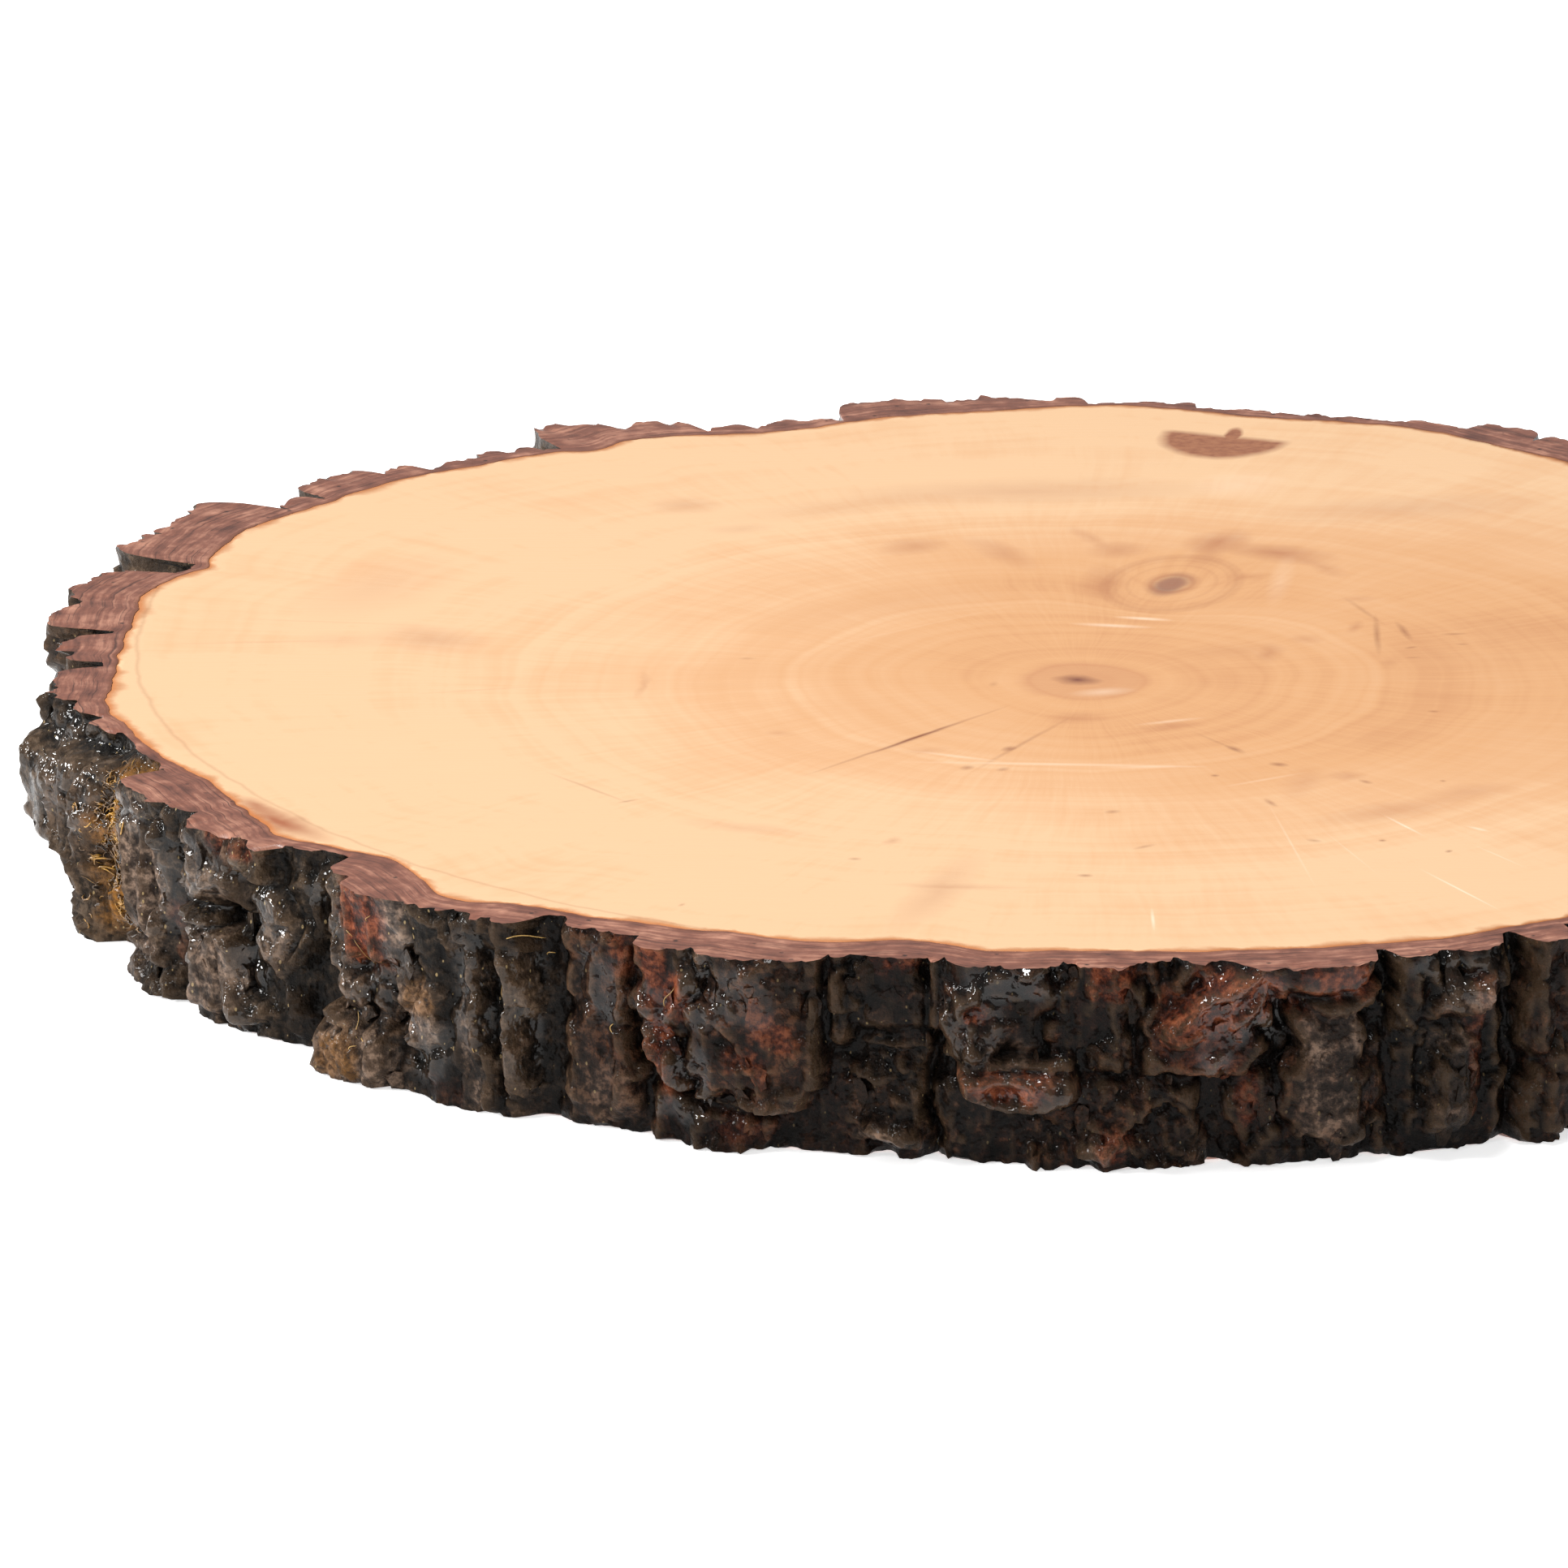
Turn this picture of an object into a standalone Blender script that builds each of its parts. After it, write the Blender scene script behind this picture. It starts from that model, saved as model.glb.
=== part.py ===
"""A round slice sawn across a log, lying flat with its bark on.

The wood is a disc whose edge swells and dips where the bark presses into it. The bark is a ring
turned round that edge, and its outer side is raised by a formula: a thin inner bark everywhere,
and on it plates, bosses and ledges with furrows left between them. Angles run from +X towards +Y,
and the side at 270 degrees faces a viewer who looks along +Y. Blender works in metres, and the
sizes below are in millimetres.
"""

import bpy
import numpy as np

MM = 0.001

# Driving dimensions
THICKNESS = 30.0
WOOD_RADIUS = 142.0
INNER_BARK = 2.0
SEAM = 0.3
COLUMNS = 420
OUTER_ROWS = 8

# Swellings and bays of the wood's edge: angle, spread in degrees, rise over WOOD_RADIUS
EDGE_SWELLS = (
    (15, 12, 2.5), (47, 6, -2.5), (66, 7, 4.5), (84, 8, 5.5), (108, 6, -5.0), (121, 2, -3.0),
    (137, 6, 2.5), (150, 6, 3.2), (159, 1.5, -2.2), (166, 4, 2.5), (190, 4, 2.0), (207, 6, -2.8),
    (218, 2, 1.5), (225, 4, -3.6), (233, 3, 4.0), (251, 6, -1.6), (260, 3, -4.4), (270, 8, -2.2),
    (290, 4, 1.2), (312, 7, -2.4), (330, 8, 2.8), (350, 5, -3.0),
)

# Bark plates that the saw shows from above, on the far and left sides:
# start and end angle, outer radius at the sawn face and at the underside
RIM_PLATES = (
    (57, 62, 155, 151), (61.5, 66.5, 150.5, 149), (66.5, 72, 149.5, 151), (71.5, 79, 148.5, 147),
    (79.5, 83.2, 151, 148), (83, 87, 147.5, 149), (86.5, 90.5, 151.5, 150), (89.5, 102.8, 152, 149),
    (103, 112.5, 143, 145), (112.5, 118.5, 150, 148), (117, 122.8, 154, 150), (119.6, 122.2, 157, 151),
    (124, 132.2, 147, 149), (132.6, 135.8, 150.5, 148), (135.2, 141.6, 154.5, 151),
    (142, 145, 149.5, 150), (145.3, 152.2, 159, 152), (151, 158.6, 157.5, 151),
    (161, 169.5, 155.5, 148), (168, 173.8, 156, 147), (174.6, 180.4, 150.8, 147),
    (181.4, 191.2, 151, 148), (190.5, 195, 147, 148),
)

# Bark plates, bosses and ledges in plain view on the near side:
# start and end angle, foot and head height, outer radius at the foot and at the head
FACE_PLATES = (
    (185, 198.2, 0, 27, 152, 154), (185.6, 190.6, 8.5, 25, 155, 155.5), (197, 202.8, 4, 28, 147.5, 146),
    (203.1, 208.8, 5.5, 30, 150, 151.5), (203.2, 210.6, 0, 5.5, 150, 149.5),
    (208.6, 210.8, 0, 28, 148, 149), (210.8, 218.4, 0, 6, 148, 148), (211.2, 216.8, 1, 14, 150.5, 150),
    (211.2, 216.2, 17, 30, 150, 150.5), (215.8, 219.2, 24, 30, 148, 149.5),
    (217.4, 220.2, 11, 24, 146.5, 146.5), (218.6, 221.2, 0, 30, 143.5, 145),
    (221, 223.6, 3, 28, 142.5, 143), (223.5, 226.6, 15, 30, 148, 147.5),
    (226, 231.6, 17.5, 30, 149, 151.5), (223.4, 229.6, 0, 9.5, 150.5, 149.5),
    (225.2, 229.9, 8.5, 18, 148, 147), (229.4, 234, 0, 9, 147, 147),
    (230.2, 233.4, 7.5, 18.5, 149.5, 149.5), (231.2, 234.2, 18, 30, 148, 151.5),
    (234, 235.8, 0, 29, 148, 149.5), (235.6, 237.2, 0, 30, 146, 147.5), (237, 238.5, 5, 30, 148, 149),
    (234, 239, 25, 30, 149, 150), (240.4, 245.1, 1, 30, 144.5, 145.5),
    (243.6, 245.3, 18, 30, 146, 146.5), (245.2, 248.8, 17, 30, 150, 151.5),
    (246, 248.2, 8, 18, 148, 149), (248.5, 255.4, 8, 30, 150, 151.5),
    (245.8, 252.9, 0, 7.5, 146.5, 146), (252.6, 256, 0, 14, 142.5, 143),
    (255, 261.7, 17.5, 30, 145, 145.5), (255.6, 261.6, 0, 17, 143.5, 144.5),
    (257.6, 260.5, 2.5, 5.5, 145.5, 145), (262.2, 268.4, 16, 30, 146.5, 147),
    (262.2, 265.6, 14.5, 26, 148.5, 148), (263.3, 269.4, 9.5, 15.5, 150, 149.5),
    (261.9, 267.1, 0, 11, 143.5, 144), (268.2, 272.9, 15, 30, 146.5, 147),
    (267, 276.5, 0, 15, 146, 146), (270, 272, 2, 6, 148, 148), (273.3, 274.8, 14, 30, 145.5, 145.5),
    (275.2, 280.6, 14, 30, 145.5, 145.2), (273.4, 279.4, 13, 22, 148.5, 148.5),
    (276.6, 280.4, 20, 29, 148.5, 149), (280.2, 286, 23, 30, 149, 150.2),
    (281, 285.2, 3, 24, 148, 148.5), (278.2, 281.2, 0, 14, 146, 146),
    (278.5, 285.6, 0, 5, 145.8, 145.8), (285, 286.4, 5, 16, 147, 147),
    (286.8, 293.6, 0, 30, 146.5, 149), (289, 292.2, 20, 26, 150.5, 150.5),
    (288.8, 291.9, 3, 18, 148.8, 148.8),
)

# The side that turns away from the viewer is covered by a rule: its first and last angle
HIDDEN_ARC = (294.4, 417.0)
PLATE_WIDTHS = (3.0, 8.5)
PLATE_RADII = (145.5, 153.5)
PLATE_SEED = 29
WHOLE_SHARE = 0.3    # how many plates run from face to face, where a rule breaks the others across
CRACK = 1.0          # height of the crack between the halves of a broken plate

SAWN = 10.0          # how far a plate that the saw cut runs on past the sawn faces
EDGE_POWER = 6       # how square a plate's outline and top are
EDGE_EASE = 0.6      # how steeply its sides stand: 1 is a slope, less is steeper
RIPPLE = 0.4         # height of the ripples in the inner bark


def turned(angle):
    """Angle differences brought to between -180 and 180 degrees."""
    return (np.asarray(angle) + 180.0) % 360.0 - 180.0


def wood_edge(angle):
    """Radius of the wood's edge: WOOD_RADIUS plus one bell-shaped swell or bay for each entry."""
    bells = [rise * np.exp(-(turned(angle - at) / spread) ** 2) for at, spread, rise in EDGE_SWELLS]
    return WOOD_RADIUS + sum(bells)


def hidden_plates(draw):
    """Plates laid end to end over the hidden side: start, end, radius at the head and at the foot."""
    plates = []
    start, last = HIDDEN_ARC
    while start < last - PLATE_WIDTHS[0]:
        end = min(start + draw.uniform(*PLATE_WIDTHS), last)
        plates.append((start, end, *draw.uniform(*PLATE_RADII, 2)))
        start = end + draw.uniform(0.2, 0.9)
    return plates


def broken(plates, draw):
    """The same plates, most of them cracked across at a random height, the lower half a little shifted."""
    pieces = []
    for start, end, head, foot in plates:
        if draw.random() < WHOLE_SHARE:
            pieces.append((start, end, 0, THICKNESS, foot, head))
            continue
        split = draw.uniform(0.15, 0.75) * THICKNESS
        shift, narrower = draw.uniform(-1.2, 1.2), draw.uniform(0, 0.8)
        pieces.append((start + shift + narrower, end + shift - narrower, 0, split - CRACK / 2, foot, foot))
        pieces.append((start, end, split + CRACK / 2, THICKNESS, foot + (head - foot) * 0.6, head))
    return pieces


def all_plates():
    draw = np.random.default_rng(PLATE_SEED)
    return list(FACE_PLATES) + broken(list(RIM_PLATES) + hidden_plates(draw), draw)


def bark_radius(angle, height):
    """Outer radius of the bark: the inner bark, or the highest plate over that place.

    A plate's rise is 1 - |u|^p across and 1 - |v|^p up, where u and v run from -1 to 1 over it,
    and the whole is eased so that it stands steeply at its edges. Slow waves, which die out at the
    upper sawn face, shift the places that the plates are read at, so that no edge runs straight.
    """
    floor = wood_edge(angle) + INNER_BARK
    below, turn = THICKNESS - height, np.radians(angle)
    across = angle + 0.4 * np.sin(0.4 * below) * np.sin(17 * turn) + 0.2 * np.sin(0.9 * below)
    up = height + 0.7 * np.sin(23 * turn) + 0.5 * np.sin(61 * turn + 1.0)
    radius = floor + RIPPLE * np.sin(90 * turn) * np.sin(0.35 * height + 0.5)
    for start, end, foot, head, foot_radius, head_radius in all_plates():
        bottom = foot if foot > 0 else -SAWN
        top = head if head < THICKNESS else THICKNESS + SAWN
        u = turned(across - (start + end) / 2) / ((end - start) / 2)
        v = (up - (bottom + top) / 2) / ((top - bottom) / 2)
        rise = np.clip(1 - np.abs(u) ** EDGE_POWER, 0, 1) * np.clip(1 - np.abs(v) ** EDGE_POWER, 0, 1)
        outer = foot_radius + (head_radius - foot_radius) * height / THICKNESS
        radius = np.maximum(radius, floor + np.maximum(outer - floor, 0) * rise ** EDGE_EASE)
    return radius


def clear_scene():
    for thing in list(bpy.data.objects):
        bpy.data.objects.remove(thing, do_unlink=True)


def colour(hex_code):
    """The linear values of an sRGB colour written as six hex digits."""
    parts = [int(hex_code[i:i + 2], 16) / 255 for i in (0, 2, 4)]
    return tuple(c / 12.92 if c <= 0.04045 else ((c + 0.055) / 1.055) ** 2.4 for c in parts) + (1.0,)


def plain_material(name, hex_code, roughness):
    material = bpy.data.materials.new(name)
    material.use_nodes = True
    surface = material.node_tree.nodes["Principled BSDF"]
    surface.inputs["Base Color"].default_value = colour(hex_code)
    surface.inputs["Roughness"].default_value = roughness
    surface.inputs["Metallic"].default_value = 0.0
    material.diffuse_color = colour(hex_code)
    return material


def turned_mesh(name, profile, closed):
    """A mesh turned by Screw from a profile of (radius, height) points in millimetres."""
    points = [(radius * MM, 0.0, height * MM) for radius, height in profile]
    edges = [(i, i + 1) for i in range(len(points) - 1)]
    if closed:
        edges.append((len(points) - 1, 0))
    outline = bpy.data.meshes.new(name + "_profile")
    outline.from_pydata(points, edges, [])
    thing = bpy.data.objects.new(name, outline)
    bpy.context.scene.collection.objects.link(thing)
    screw = thing.modifiers.new("turn", "SCREW")
    screw.steps = screw.render_steps = COLUMNS
    screw.use_merge_vertices = True
    screw.merge_threshold = 0.00001
    graph = bpy.context.evaluated_depsgraph_get()
    mesh = bpy.data.meshes.new_from_object(thing.evaluated_get(graph))
    mesh.name = name
    bpy.data.objects.remove(thing, do_unlink=True)
    bpy.data.meshes.remove(outline)
    return mesh


def mesh_points(mesh):
    """A mesh's vertices as arrays of radius and height in millimetres, and angle in degrees."""
    flat = np.empty(len(mesh.vertices) * 3)
    mesh.vertices.foreach_get("co", flat)
    x, y, z = flat.reshape(-1, 3).T / MM
    return np.hypot(x, y), np.degrees(np.arctan2(y, x)) % 360.0, z


def place_points(mesh, radius, angle, height, centre):
    """Puts the vertices back at the given radius, with the outline's centre brought to the axis."""
    x = radius * np.cos(np.radians(angle)) - centre[0]
    y = radius * np.sin(np.radians(angle)) - centre[1]
    mesh.vertices.foreach_set("co", (np.stack([x, y, height], axis=1) * MM).ravel())
    mesh.update()


def outline_centre():
    """Middle of the bark's box, seen from above, so that the slice stands centred on its origin."""
    columns = np.arange(COLUMNS) * 360.0 / COLUMNS
    rows = np.linspace(0, THICKNESS, OUTER_ROWS + 1)
    angle, height = np.meshgrid(columns, rows)
    radius = bark_radius(angle, height)
    x = radius * np.cos(np.radians(angle))
    y = radius * np.sin(np.radians(angle))
    return (x.max() + x.min()) / 2, (y.max() + y.min()) / 2


def add_part(name, mesh, material, collection):
    mesh.materials.clear()
    mesh.materials.append(material)
    mesh.shade_smooth()
    mesh.set_sharp_from_angle(angle=np.radians(40))
    part = bpy.data.objects.new(name, mesh)
    collection.objects.link(part)
    return part


def make_wood(collection, centre):
    """The sawn disc: a plain turned drum whose rim is moved to the wood's edge."""
    profile = ((0, THICKNESS), (WOOD_RADIUS, THICKNESS), (WOOD_RADIUS, 0), (0, 0))
    mesh = turned_mesh("wood", profile, closed=False)
    radius, angle, height = mesh_points(mesh)
    on_rim = radius > WOOD_RADIUS / 2
    place_points(mesh, np.where(on_rim, wood_edge(angle), 0.0), angle, height, centre)
    return add_part("wood", mesh, plain_material("wood", "F4CFA0", 0.35), collection)


def make_bark(collection, centre):
    """The bark: a turned ring whose inner side follows the wood and whose outer side takes the relief."""
    inside, outside = WOOD_RADIUS, WOOD_RADIUS + 8
    outer_side = [(outside, THICKNESS * (1 - i / OUTER_ROWS)) for i in range(OUTER_ROWS + 1)]
    profile = outer_side + [(inside, 0), (inside, THICKNESS)]
    mesh = turned_mesh("bark", profile, closed=True)
    radius, angle, height = mesh_points(mesh)
    is_outer = radius > (inside + outside) / 2
    placed = np.where(is_outer, bark_radius(angle, height), wood_edge(angle) + SEAM)
    place_points(mesh, placed, angle, height, centre)
    return add_part("bark", mesh, plain_material("bark", "3D342C", 0.45), collection)


clear_scene()
slice_parts = bpy.data.collections.new("wood_slice")
bpy.context.scene.collection.children.link(slice_parts)
middle = outline_centre()
make_wood(slice_parts, middle)
make_bark(slice_parts, middle)
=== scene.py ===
# %% [markdown]
# A round slice sawn across a log, with its bark on
#
# The real object is a slice about 30 cm across and 3 cm thick. Its face is sanded and varnished
# sapwood with a dark pith, a knot and faint growth rings. Round it stands deeply furrowed bark,
# lacquered so that it looks wet, with red-brown wood showing where plates have broken off.
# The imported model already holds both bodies. This script lays two finer pieces over them, adds
# moss, hairs and loose flakes, and gives every surface a finish worked out from formulas.

import bmesh
import bpy
import numpy as np
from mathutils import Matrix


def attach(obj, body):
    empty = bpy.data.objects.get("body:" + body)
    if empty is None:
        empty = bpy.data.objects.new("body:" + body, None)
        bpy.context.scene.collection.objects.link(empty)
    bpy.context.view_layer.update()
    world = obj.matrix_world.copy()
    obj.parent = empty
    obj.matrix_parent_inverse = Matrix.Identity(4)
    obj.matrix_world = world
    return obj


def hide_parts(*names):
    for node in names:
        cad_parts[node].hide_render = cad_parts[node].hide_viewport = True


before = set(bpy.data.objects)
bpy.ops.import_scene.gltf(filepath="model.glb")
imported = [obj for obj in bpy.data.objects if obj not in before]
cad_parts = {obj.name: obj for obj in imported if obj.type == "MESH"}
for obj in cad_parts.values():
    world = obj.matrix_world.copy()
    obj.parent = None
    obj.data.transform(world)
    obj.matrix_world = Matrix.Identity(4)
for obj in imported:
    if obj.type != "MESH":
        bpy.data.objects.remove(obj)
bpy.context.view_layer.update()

MM = 0.001
print("nodes of the packed model:", sorted(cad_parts))

# %% [markdown]
# The form of the slice
#
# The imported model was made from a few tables: swellings of the wood's edge, and plates of bark with
# a start and an end angle, a foot and a head height, and a radius at each. The finer pieces are read
# from the same tables, so they keep the model's form, and only add what a few thousand faces can't
# hold. Two plates, near 210 and 243 degrees, are set here a little wider or prouder than the model's.
# Angles are in degrees from +X towards +Y, and sizes are in millimetres.

# %% Driving dimensions
THICKNESS = 30.0
WOOD_RADIUS = 142.0
INNER_BARK = 2.0

# Swellings and bays of the wood's edge: angle, spread in degrees, rise over WOOD_RADIUS
EDGE_SWELLS = (
    (15, 12, 2.5), (47, 6, -2.5), (66, 7, 4.5), (84, 8, 5.5), (108, 6, -5.0), (121, 2, -3.0),
    (137, 6, 2.5), (150, 6, 3.2), (159, 1.5, -2.2), (166, 4, 2.5), (190, 4, 2.0), (207, 6, -2.8),
    (218, 2, 1.5), (225, 4, -3.6), (233, 3, 4.0), (251, 6, -1.6), (260, 3, -4.4), (270, 8, -2.2),
    (290, 4, 1.2), (312, 7, -2.4), (330, 8, 2.8), (350, 5, -3.0),
)

# Bark plates on the far and left sides: start and end angle, radius at the sawn face and at the underside
RIM_PLATES = (
    (57, 62, 155, 151), (61.5, 66.5, 150.5, 149), (66.5, 72, 149.5, 151), (71.5, 79, 148.5, 147),
    (79.5, 83.2, 151, 148), (83, 87, 147.5, 149), (86.5, 90.5, 151.5, 150), (89.5, 102.8, 152, 149),
    (103, 112.5, 143, 145), (112.5, 118.5, 150, 148), (117, 122.8, 154, 150), (119.6, 122.2, 157, 151),
    (124, 132.2, 147, 149), (132.6, 135.8, 150.5, 148), (135.2, 141.6, 154.5, 151),
    (142, 145, 149.5, 150), (145.3, 152.2, 159, 152), (151, 158.6, 157.5, 151),
    (161, 169.5, 155.5, 148), (168, 173.8, 156, 147), (174.6, 180.4, 150.8, 147),
    (181.4, 191.2, 151, 148), (190.5, 195, 147, 148),
)

# Bark plates in plain view: start and end angle, foot and head height, radius at the foot and at the head
FACE_PLATES = (
    (185, 198.2, 0, 27, 152, 154), (185.6, 190.6, 8.5, 25, 155, 155.5), (197, 202.8, 4, 28, 147.5, 146),
    (203.1, 208.8, 5.5, 30, 150, 151.5), (203.2, 210.6, 0, 5.5, 150, 149.5),
    (208.4, 211.6, 0, 30, 147.5, 148.8), (210.8, 218.4, 0, 6, 148, 148), (211.2, 216.8, 1, 14, 150.5, 150),
    (211.2, 216.2, 17, 30, 150, 150.5), (215.8, 219.2, 24, 30, 148, 149.5),
    (217.4, 220.2, 11, 24, 146.5, 146.5), (218.6, 221.2, 0, 30, 143.5, 145),
    (221, 223.6, 3, 28, 142.5, 143), (223.5, 226.6, 15, 30, 148, 147.5),
    (226, 231.6, 17.5, 30, 149, 151.5), (223.4, 229.6, 0, 9.5, 150.5, 149.5),
    (225.2, 229.9, 8.5, 18, 148, 147), (229.4, 234, 0, 9, 147, 147),
    (230.2, 233.4, 7.5, 18.5, 149.5, 149.5), (231.2, 234.2, 18, 30, 148, 151.5),
    (234, 235.8, 0, 29, 148, 149.5), (235.6, 237.2, 0, 30, 146, 147.5), (237, 238.5, 5, 30, 148, 149),
    (234, 239, 25, 30, 149, 150), (240.4, 245.1, 1, 30, 146.2, 147.2),
    (243.6, 245.3, 18, 30, 146, 146.5), (245.2, 248.8, 17, 30, 150, 151.5),
    (246, 248.2, 8, 18, 148, 149), (248.5, 255.4, 8, 30, 150, 151.5),
    (245.8, 252.9, 0, 7.5, 146.5, 146), (252.6, 256, 0, 14, 142.5, 143),
    (255, 261.7, 17.5, 30, 145, 145.5), (255.6, 261.6, 0, 17, 143.5, 144.5),
    (257.6, 260.5, 2.5, 5.5, 145.5, 145), (262.2, 268.4, 16, 30, 146.5, 147),
    (262.2, 265.6, 14.5, 26, 148.5, 148), (263.3, 269.4, 9.5, 15.5, 150, 149.5),
    (261.9, 267.1, 0, 11, 143.5, 144), (268.2, 272.9, 15, 30, 146.5, 147),
    (267, 276.5, 0, 15, 146, 146), (270, 272, 2, 6, 148, 148), (273.3, 274.8, 14, 30, 145.5, 145.5),
    (275.2, 280.6, 14, 30, 145.5, 145.2), (273.4, 279.4, 13, 22, 148.5, 148.5),
    (276.6, 280.4, 20, 29, 148.5, 149), (280.2, 286, 23, 30, 149, 150.2),
    (281, 285.2, 3, 24, 148, 148.5), (278.2, 281.2, 0, 14, 146, 146),
    (278.5, 285.6, 0, 5, 145.8, 145.8), (285, 286.4, 5, 16, 147, 147),
    (286.8, 293.6, 0, 30, 146.5, 149), (289, 292.2, 20, 26, 150.5, 150.5),
    (288.8, 291.9, 3, 18, 148.8, 148.8),
)

# The side that turns away from the viewer is covered by a rule
HIDDEN_ARC = (294.4, 417.0)
PLATE_WIDTHS = (3.0, 8.5)
PLATE_RADII = (145.5, 153.5)
PLATE_SEED = 29
# The share of the far and hidden plates that aren't cracked across, and the crack's width
WHOLE_SHARE = 0.3
CRACK = 1.0
# How far a plate that reaches a sawn face is carried past it, so that its edge isn't rounded there
SAWN = 10.0
# The powers of a plate's cross-section: how square it is, and how steep its sides are
EDGE_POWER = 6
EDGE_EASE = 0.6
print(len(RIM_PLATES) + len(FACE_PLATES), "plates were placed by eye")

# %% Rules that lay the plates


def turned(angle):
    """Angle differences brought to between -180 and 180 degrees."""
    return (np.asarray(angle) + 180.0) % 360.0 - 180.0


def wood_edge(angle):
    """Radius of the wood's edge: WOOD_RADIUS plus, for each swell, rise exp(-(difference / spread)^2)."""
    bells = [rise * np.exp(-(turned(angle - at) / spread) ** 2) for at, spread, rise in EDGE_SWELLS]
    return WOOD_RADIUS + sum(bells)


def hidden_plates(draw):
    """Plates laid end to end over the hidden side: start, end, radius at the head and at the foot."""
    plates = []
    start, last = HIDDEN_ARC
    while start < last - PLATE_WIDTHS[0]:
        end = min(start + draw.uniform(*PLATE_WIDTHS), last)
        plates.append((start, end, *draw.uniform(*PLATE_RADII, 2)))
        start = end + draw.uniform(0.2, 0.9)
    return plates


def broken(plates, draw):
    """The same plates, most of them cracked across at a random height, the lower half a little shifted."""
    pieces = []
    for start, end, head, foot in plates:
        if draw.random() < WHOLE_SHARE:
            pieces.append((start, end, 0, THICKNESS, foot, head))
            continue
        split = draw.uniform(0.15, 0.75) * THICKNESS
        shift, narrower = draw.uniform(-1.2, 1.2), draw.uniform(0, 0.8)
        pieces.append((start + shift + narrower, end + shift - narrower, 0, split - CRACK / 2, foot, foot))
        pieces.append((start, end, split + CRACK / 2, THICKNESS, foot + (head - foot) * 0.6, head))
    return pieces


plate_draw = np.random.default_rng(PLATE_SEED)
PLATES = list(FACE_PLATES) + broken(list(RIM_PLATES) + hidden_plates(plate_draw), plate_draw)
print(len(PLATES), "plates in all, once the far and hidden ones are cracked across")

# %% The bark's outer radius


def bark_form(angle, height, crown=0.0, ease=EDGE_EASE):
    """Outer radius of the bark and the number of the plate that makes it.

    A plate's rise is (1 - |u|^p)(1 - |v|^p) eased by a power, where u and v run from -1 to 1 across
    and up it. Crown lowers a plate towards its edges by crown (u^2 + v^2 / 2), as weather does.
    """
    floor = wood_edge(angle) + INNER_BARK
    below, turn = THICKNESS - height, np.radians(angle)
    across = angle + 0.4 * np.sin(0.4 * below) * np.sin(17 * turn) + 0.2 * np.sin(0.9 * below)
    up = height + 0.7 * np.sin(23 * turn) + 0.5 * np.sin(61 * turn + 1.0)
    radius = floor + 0.4 * np.sin(90 * turn) * np.sin(0.35 * height + 0.5)
    number = np.full(np.shape(radius), -1)
    for count, (start, end, foot, head, foot_radius, head_radius) in enumerate(PLATES):
        bottom = foot if foot > 0 else -SAWN
        top = head if head < THICKNESS else THICKNESS + SAWN
        u = turned(across - (start + end) / 2) / ((end - start) / 2)
        v = (up - (bottom + top) / 2) / ((top - bottom) / 2)
        rise = np.clip(1 - np.abs(u) ** EDGE_POWER, 0, 1) * np.clip(1 - np.abs(v) ** EDGE_POWER, 0, 1)
        outer = foot_radius + (head_radius - foot_radius) * height / THICKNESS
        raised = np.maximum(outer - floor, 0) * rise ** ease * (1 - crown * (u ** 2 + v ** 2 / 2))
        number = np.where(floor + raised > radius, count, number)
        radius = np.maximum(radius, floor + raised)
    return radius, number


coarse_angle, coarse_height = np.meshgrid(np.arange(420) * 360.0 / 420, np.linspace(0, THICKNESS, 9))
coarse_radius, _ = bark_form(coarse_angle, coarse_height)
coarse_x = coarse_radius * np.cos(np.radians(coarse_angle))
coarse_y = coarse_radius * np.sin(np.radians(coarse_angle))
CENTRE = ((coarse_x.max() + coarse_x.min()) / 2, (coarse_y.max() + coarse_y.min()) / 2)
print("the outline's middle, which the packed model puts on the axis:", [round(float(c), 3) for c in CENTRE])

# %% [markdown]
# Roughness that closes on itself
#
# Bark is a ring, so any random pattern on it has to meet itself after a full turn. A picture texture
# could be bent round it, but a lattice of random slopes whose columns wrap round is simpler and has
# no seam. Sizes are given in millimetres along the bark, so a pattern's scale is the real one.

# %% Noise, fractal noise and cracked scales
BARK_RADIUS = 150.0
GIRTH = 2 * np.pi * BARK_RADIUS


def smooth(t):
    """The quintic 6 t^5 - 15 t^4 + 10 t^3, which starts and ends level."""
    return t ** 3 * (t * (6 * t - 15) + 10)


def step(low, high, t):
    """0 below low, 1 above high, and the quintic between them."""
    return smooth(np.clip((t - low) / (high - low), 0, 1))


def noise(angle, height, wide, high, seed):
    """Gradient noise of about -1 to 1: each lattice corner has a random slope, and the four are blended."""
    around = max(3, int(round(GIRTH / wide)))
    u, v = (angle % 360) / 360 * around, (height + 20) / high
    i, j = np.floor(u).astype(int), np.floor(v).astype(int)
    draw = np.random.default_rng(seed)
    way = draw.uniform(0, 2 * np.pi, (around, int(80 / high) + 3))
    total = 0.0
    for di in (0, 1):
        for dj in (0, 1):
            lean = way[(i + di) % around, j + dj]
            du, dv = u - i - di, v - j - dj
            weight = smooth(1 - np.abs(du)) * smooth(1 - np.abs(dv))
            total = total + weight * (np.cos(lean) * du + np.sin(lean) * dv)
    return total * 1.6


def fractal(angle, height, wide, high, seed, layers=4):
    """Noise at a size, plus half as much at half the size, and so on."""
    halves = [2 ** k for k in range(layers)]
    return sum(noise(angle, height, wide / n, high / n, seed + 31 * k) / n for k, n in enumerate(halves))


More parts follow.
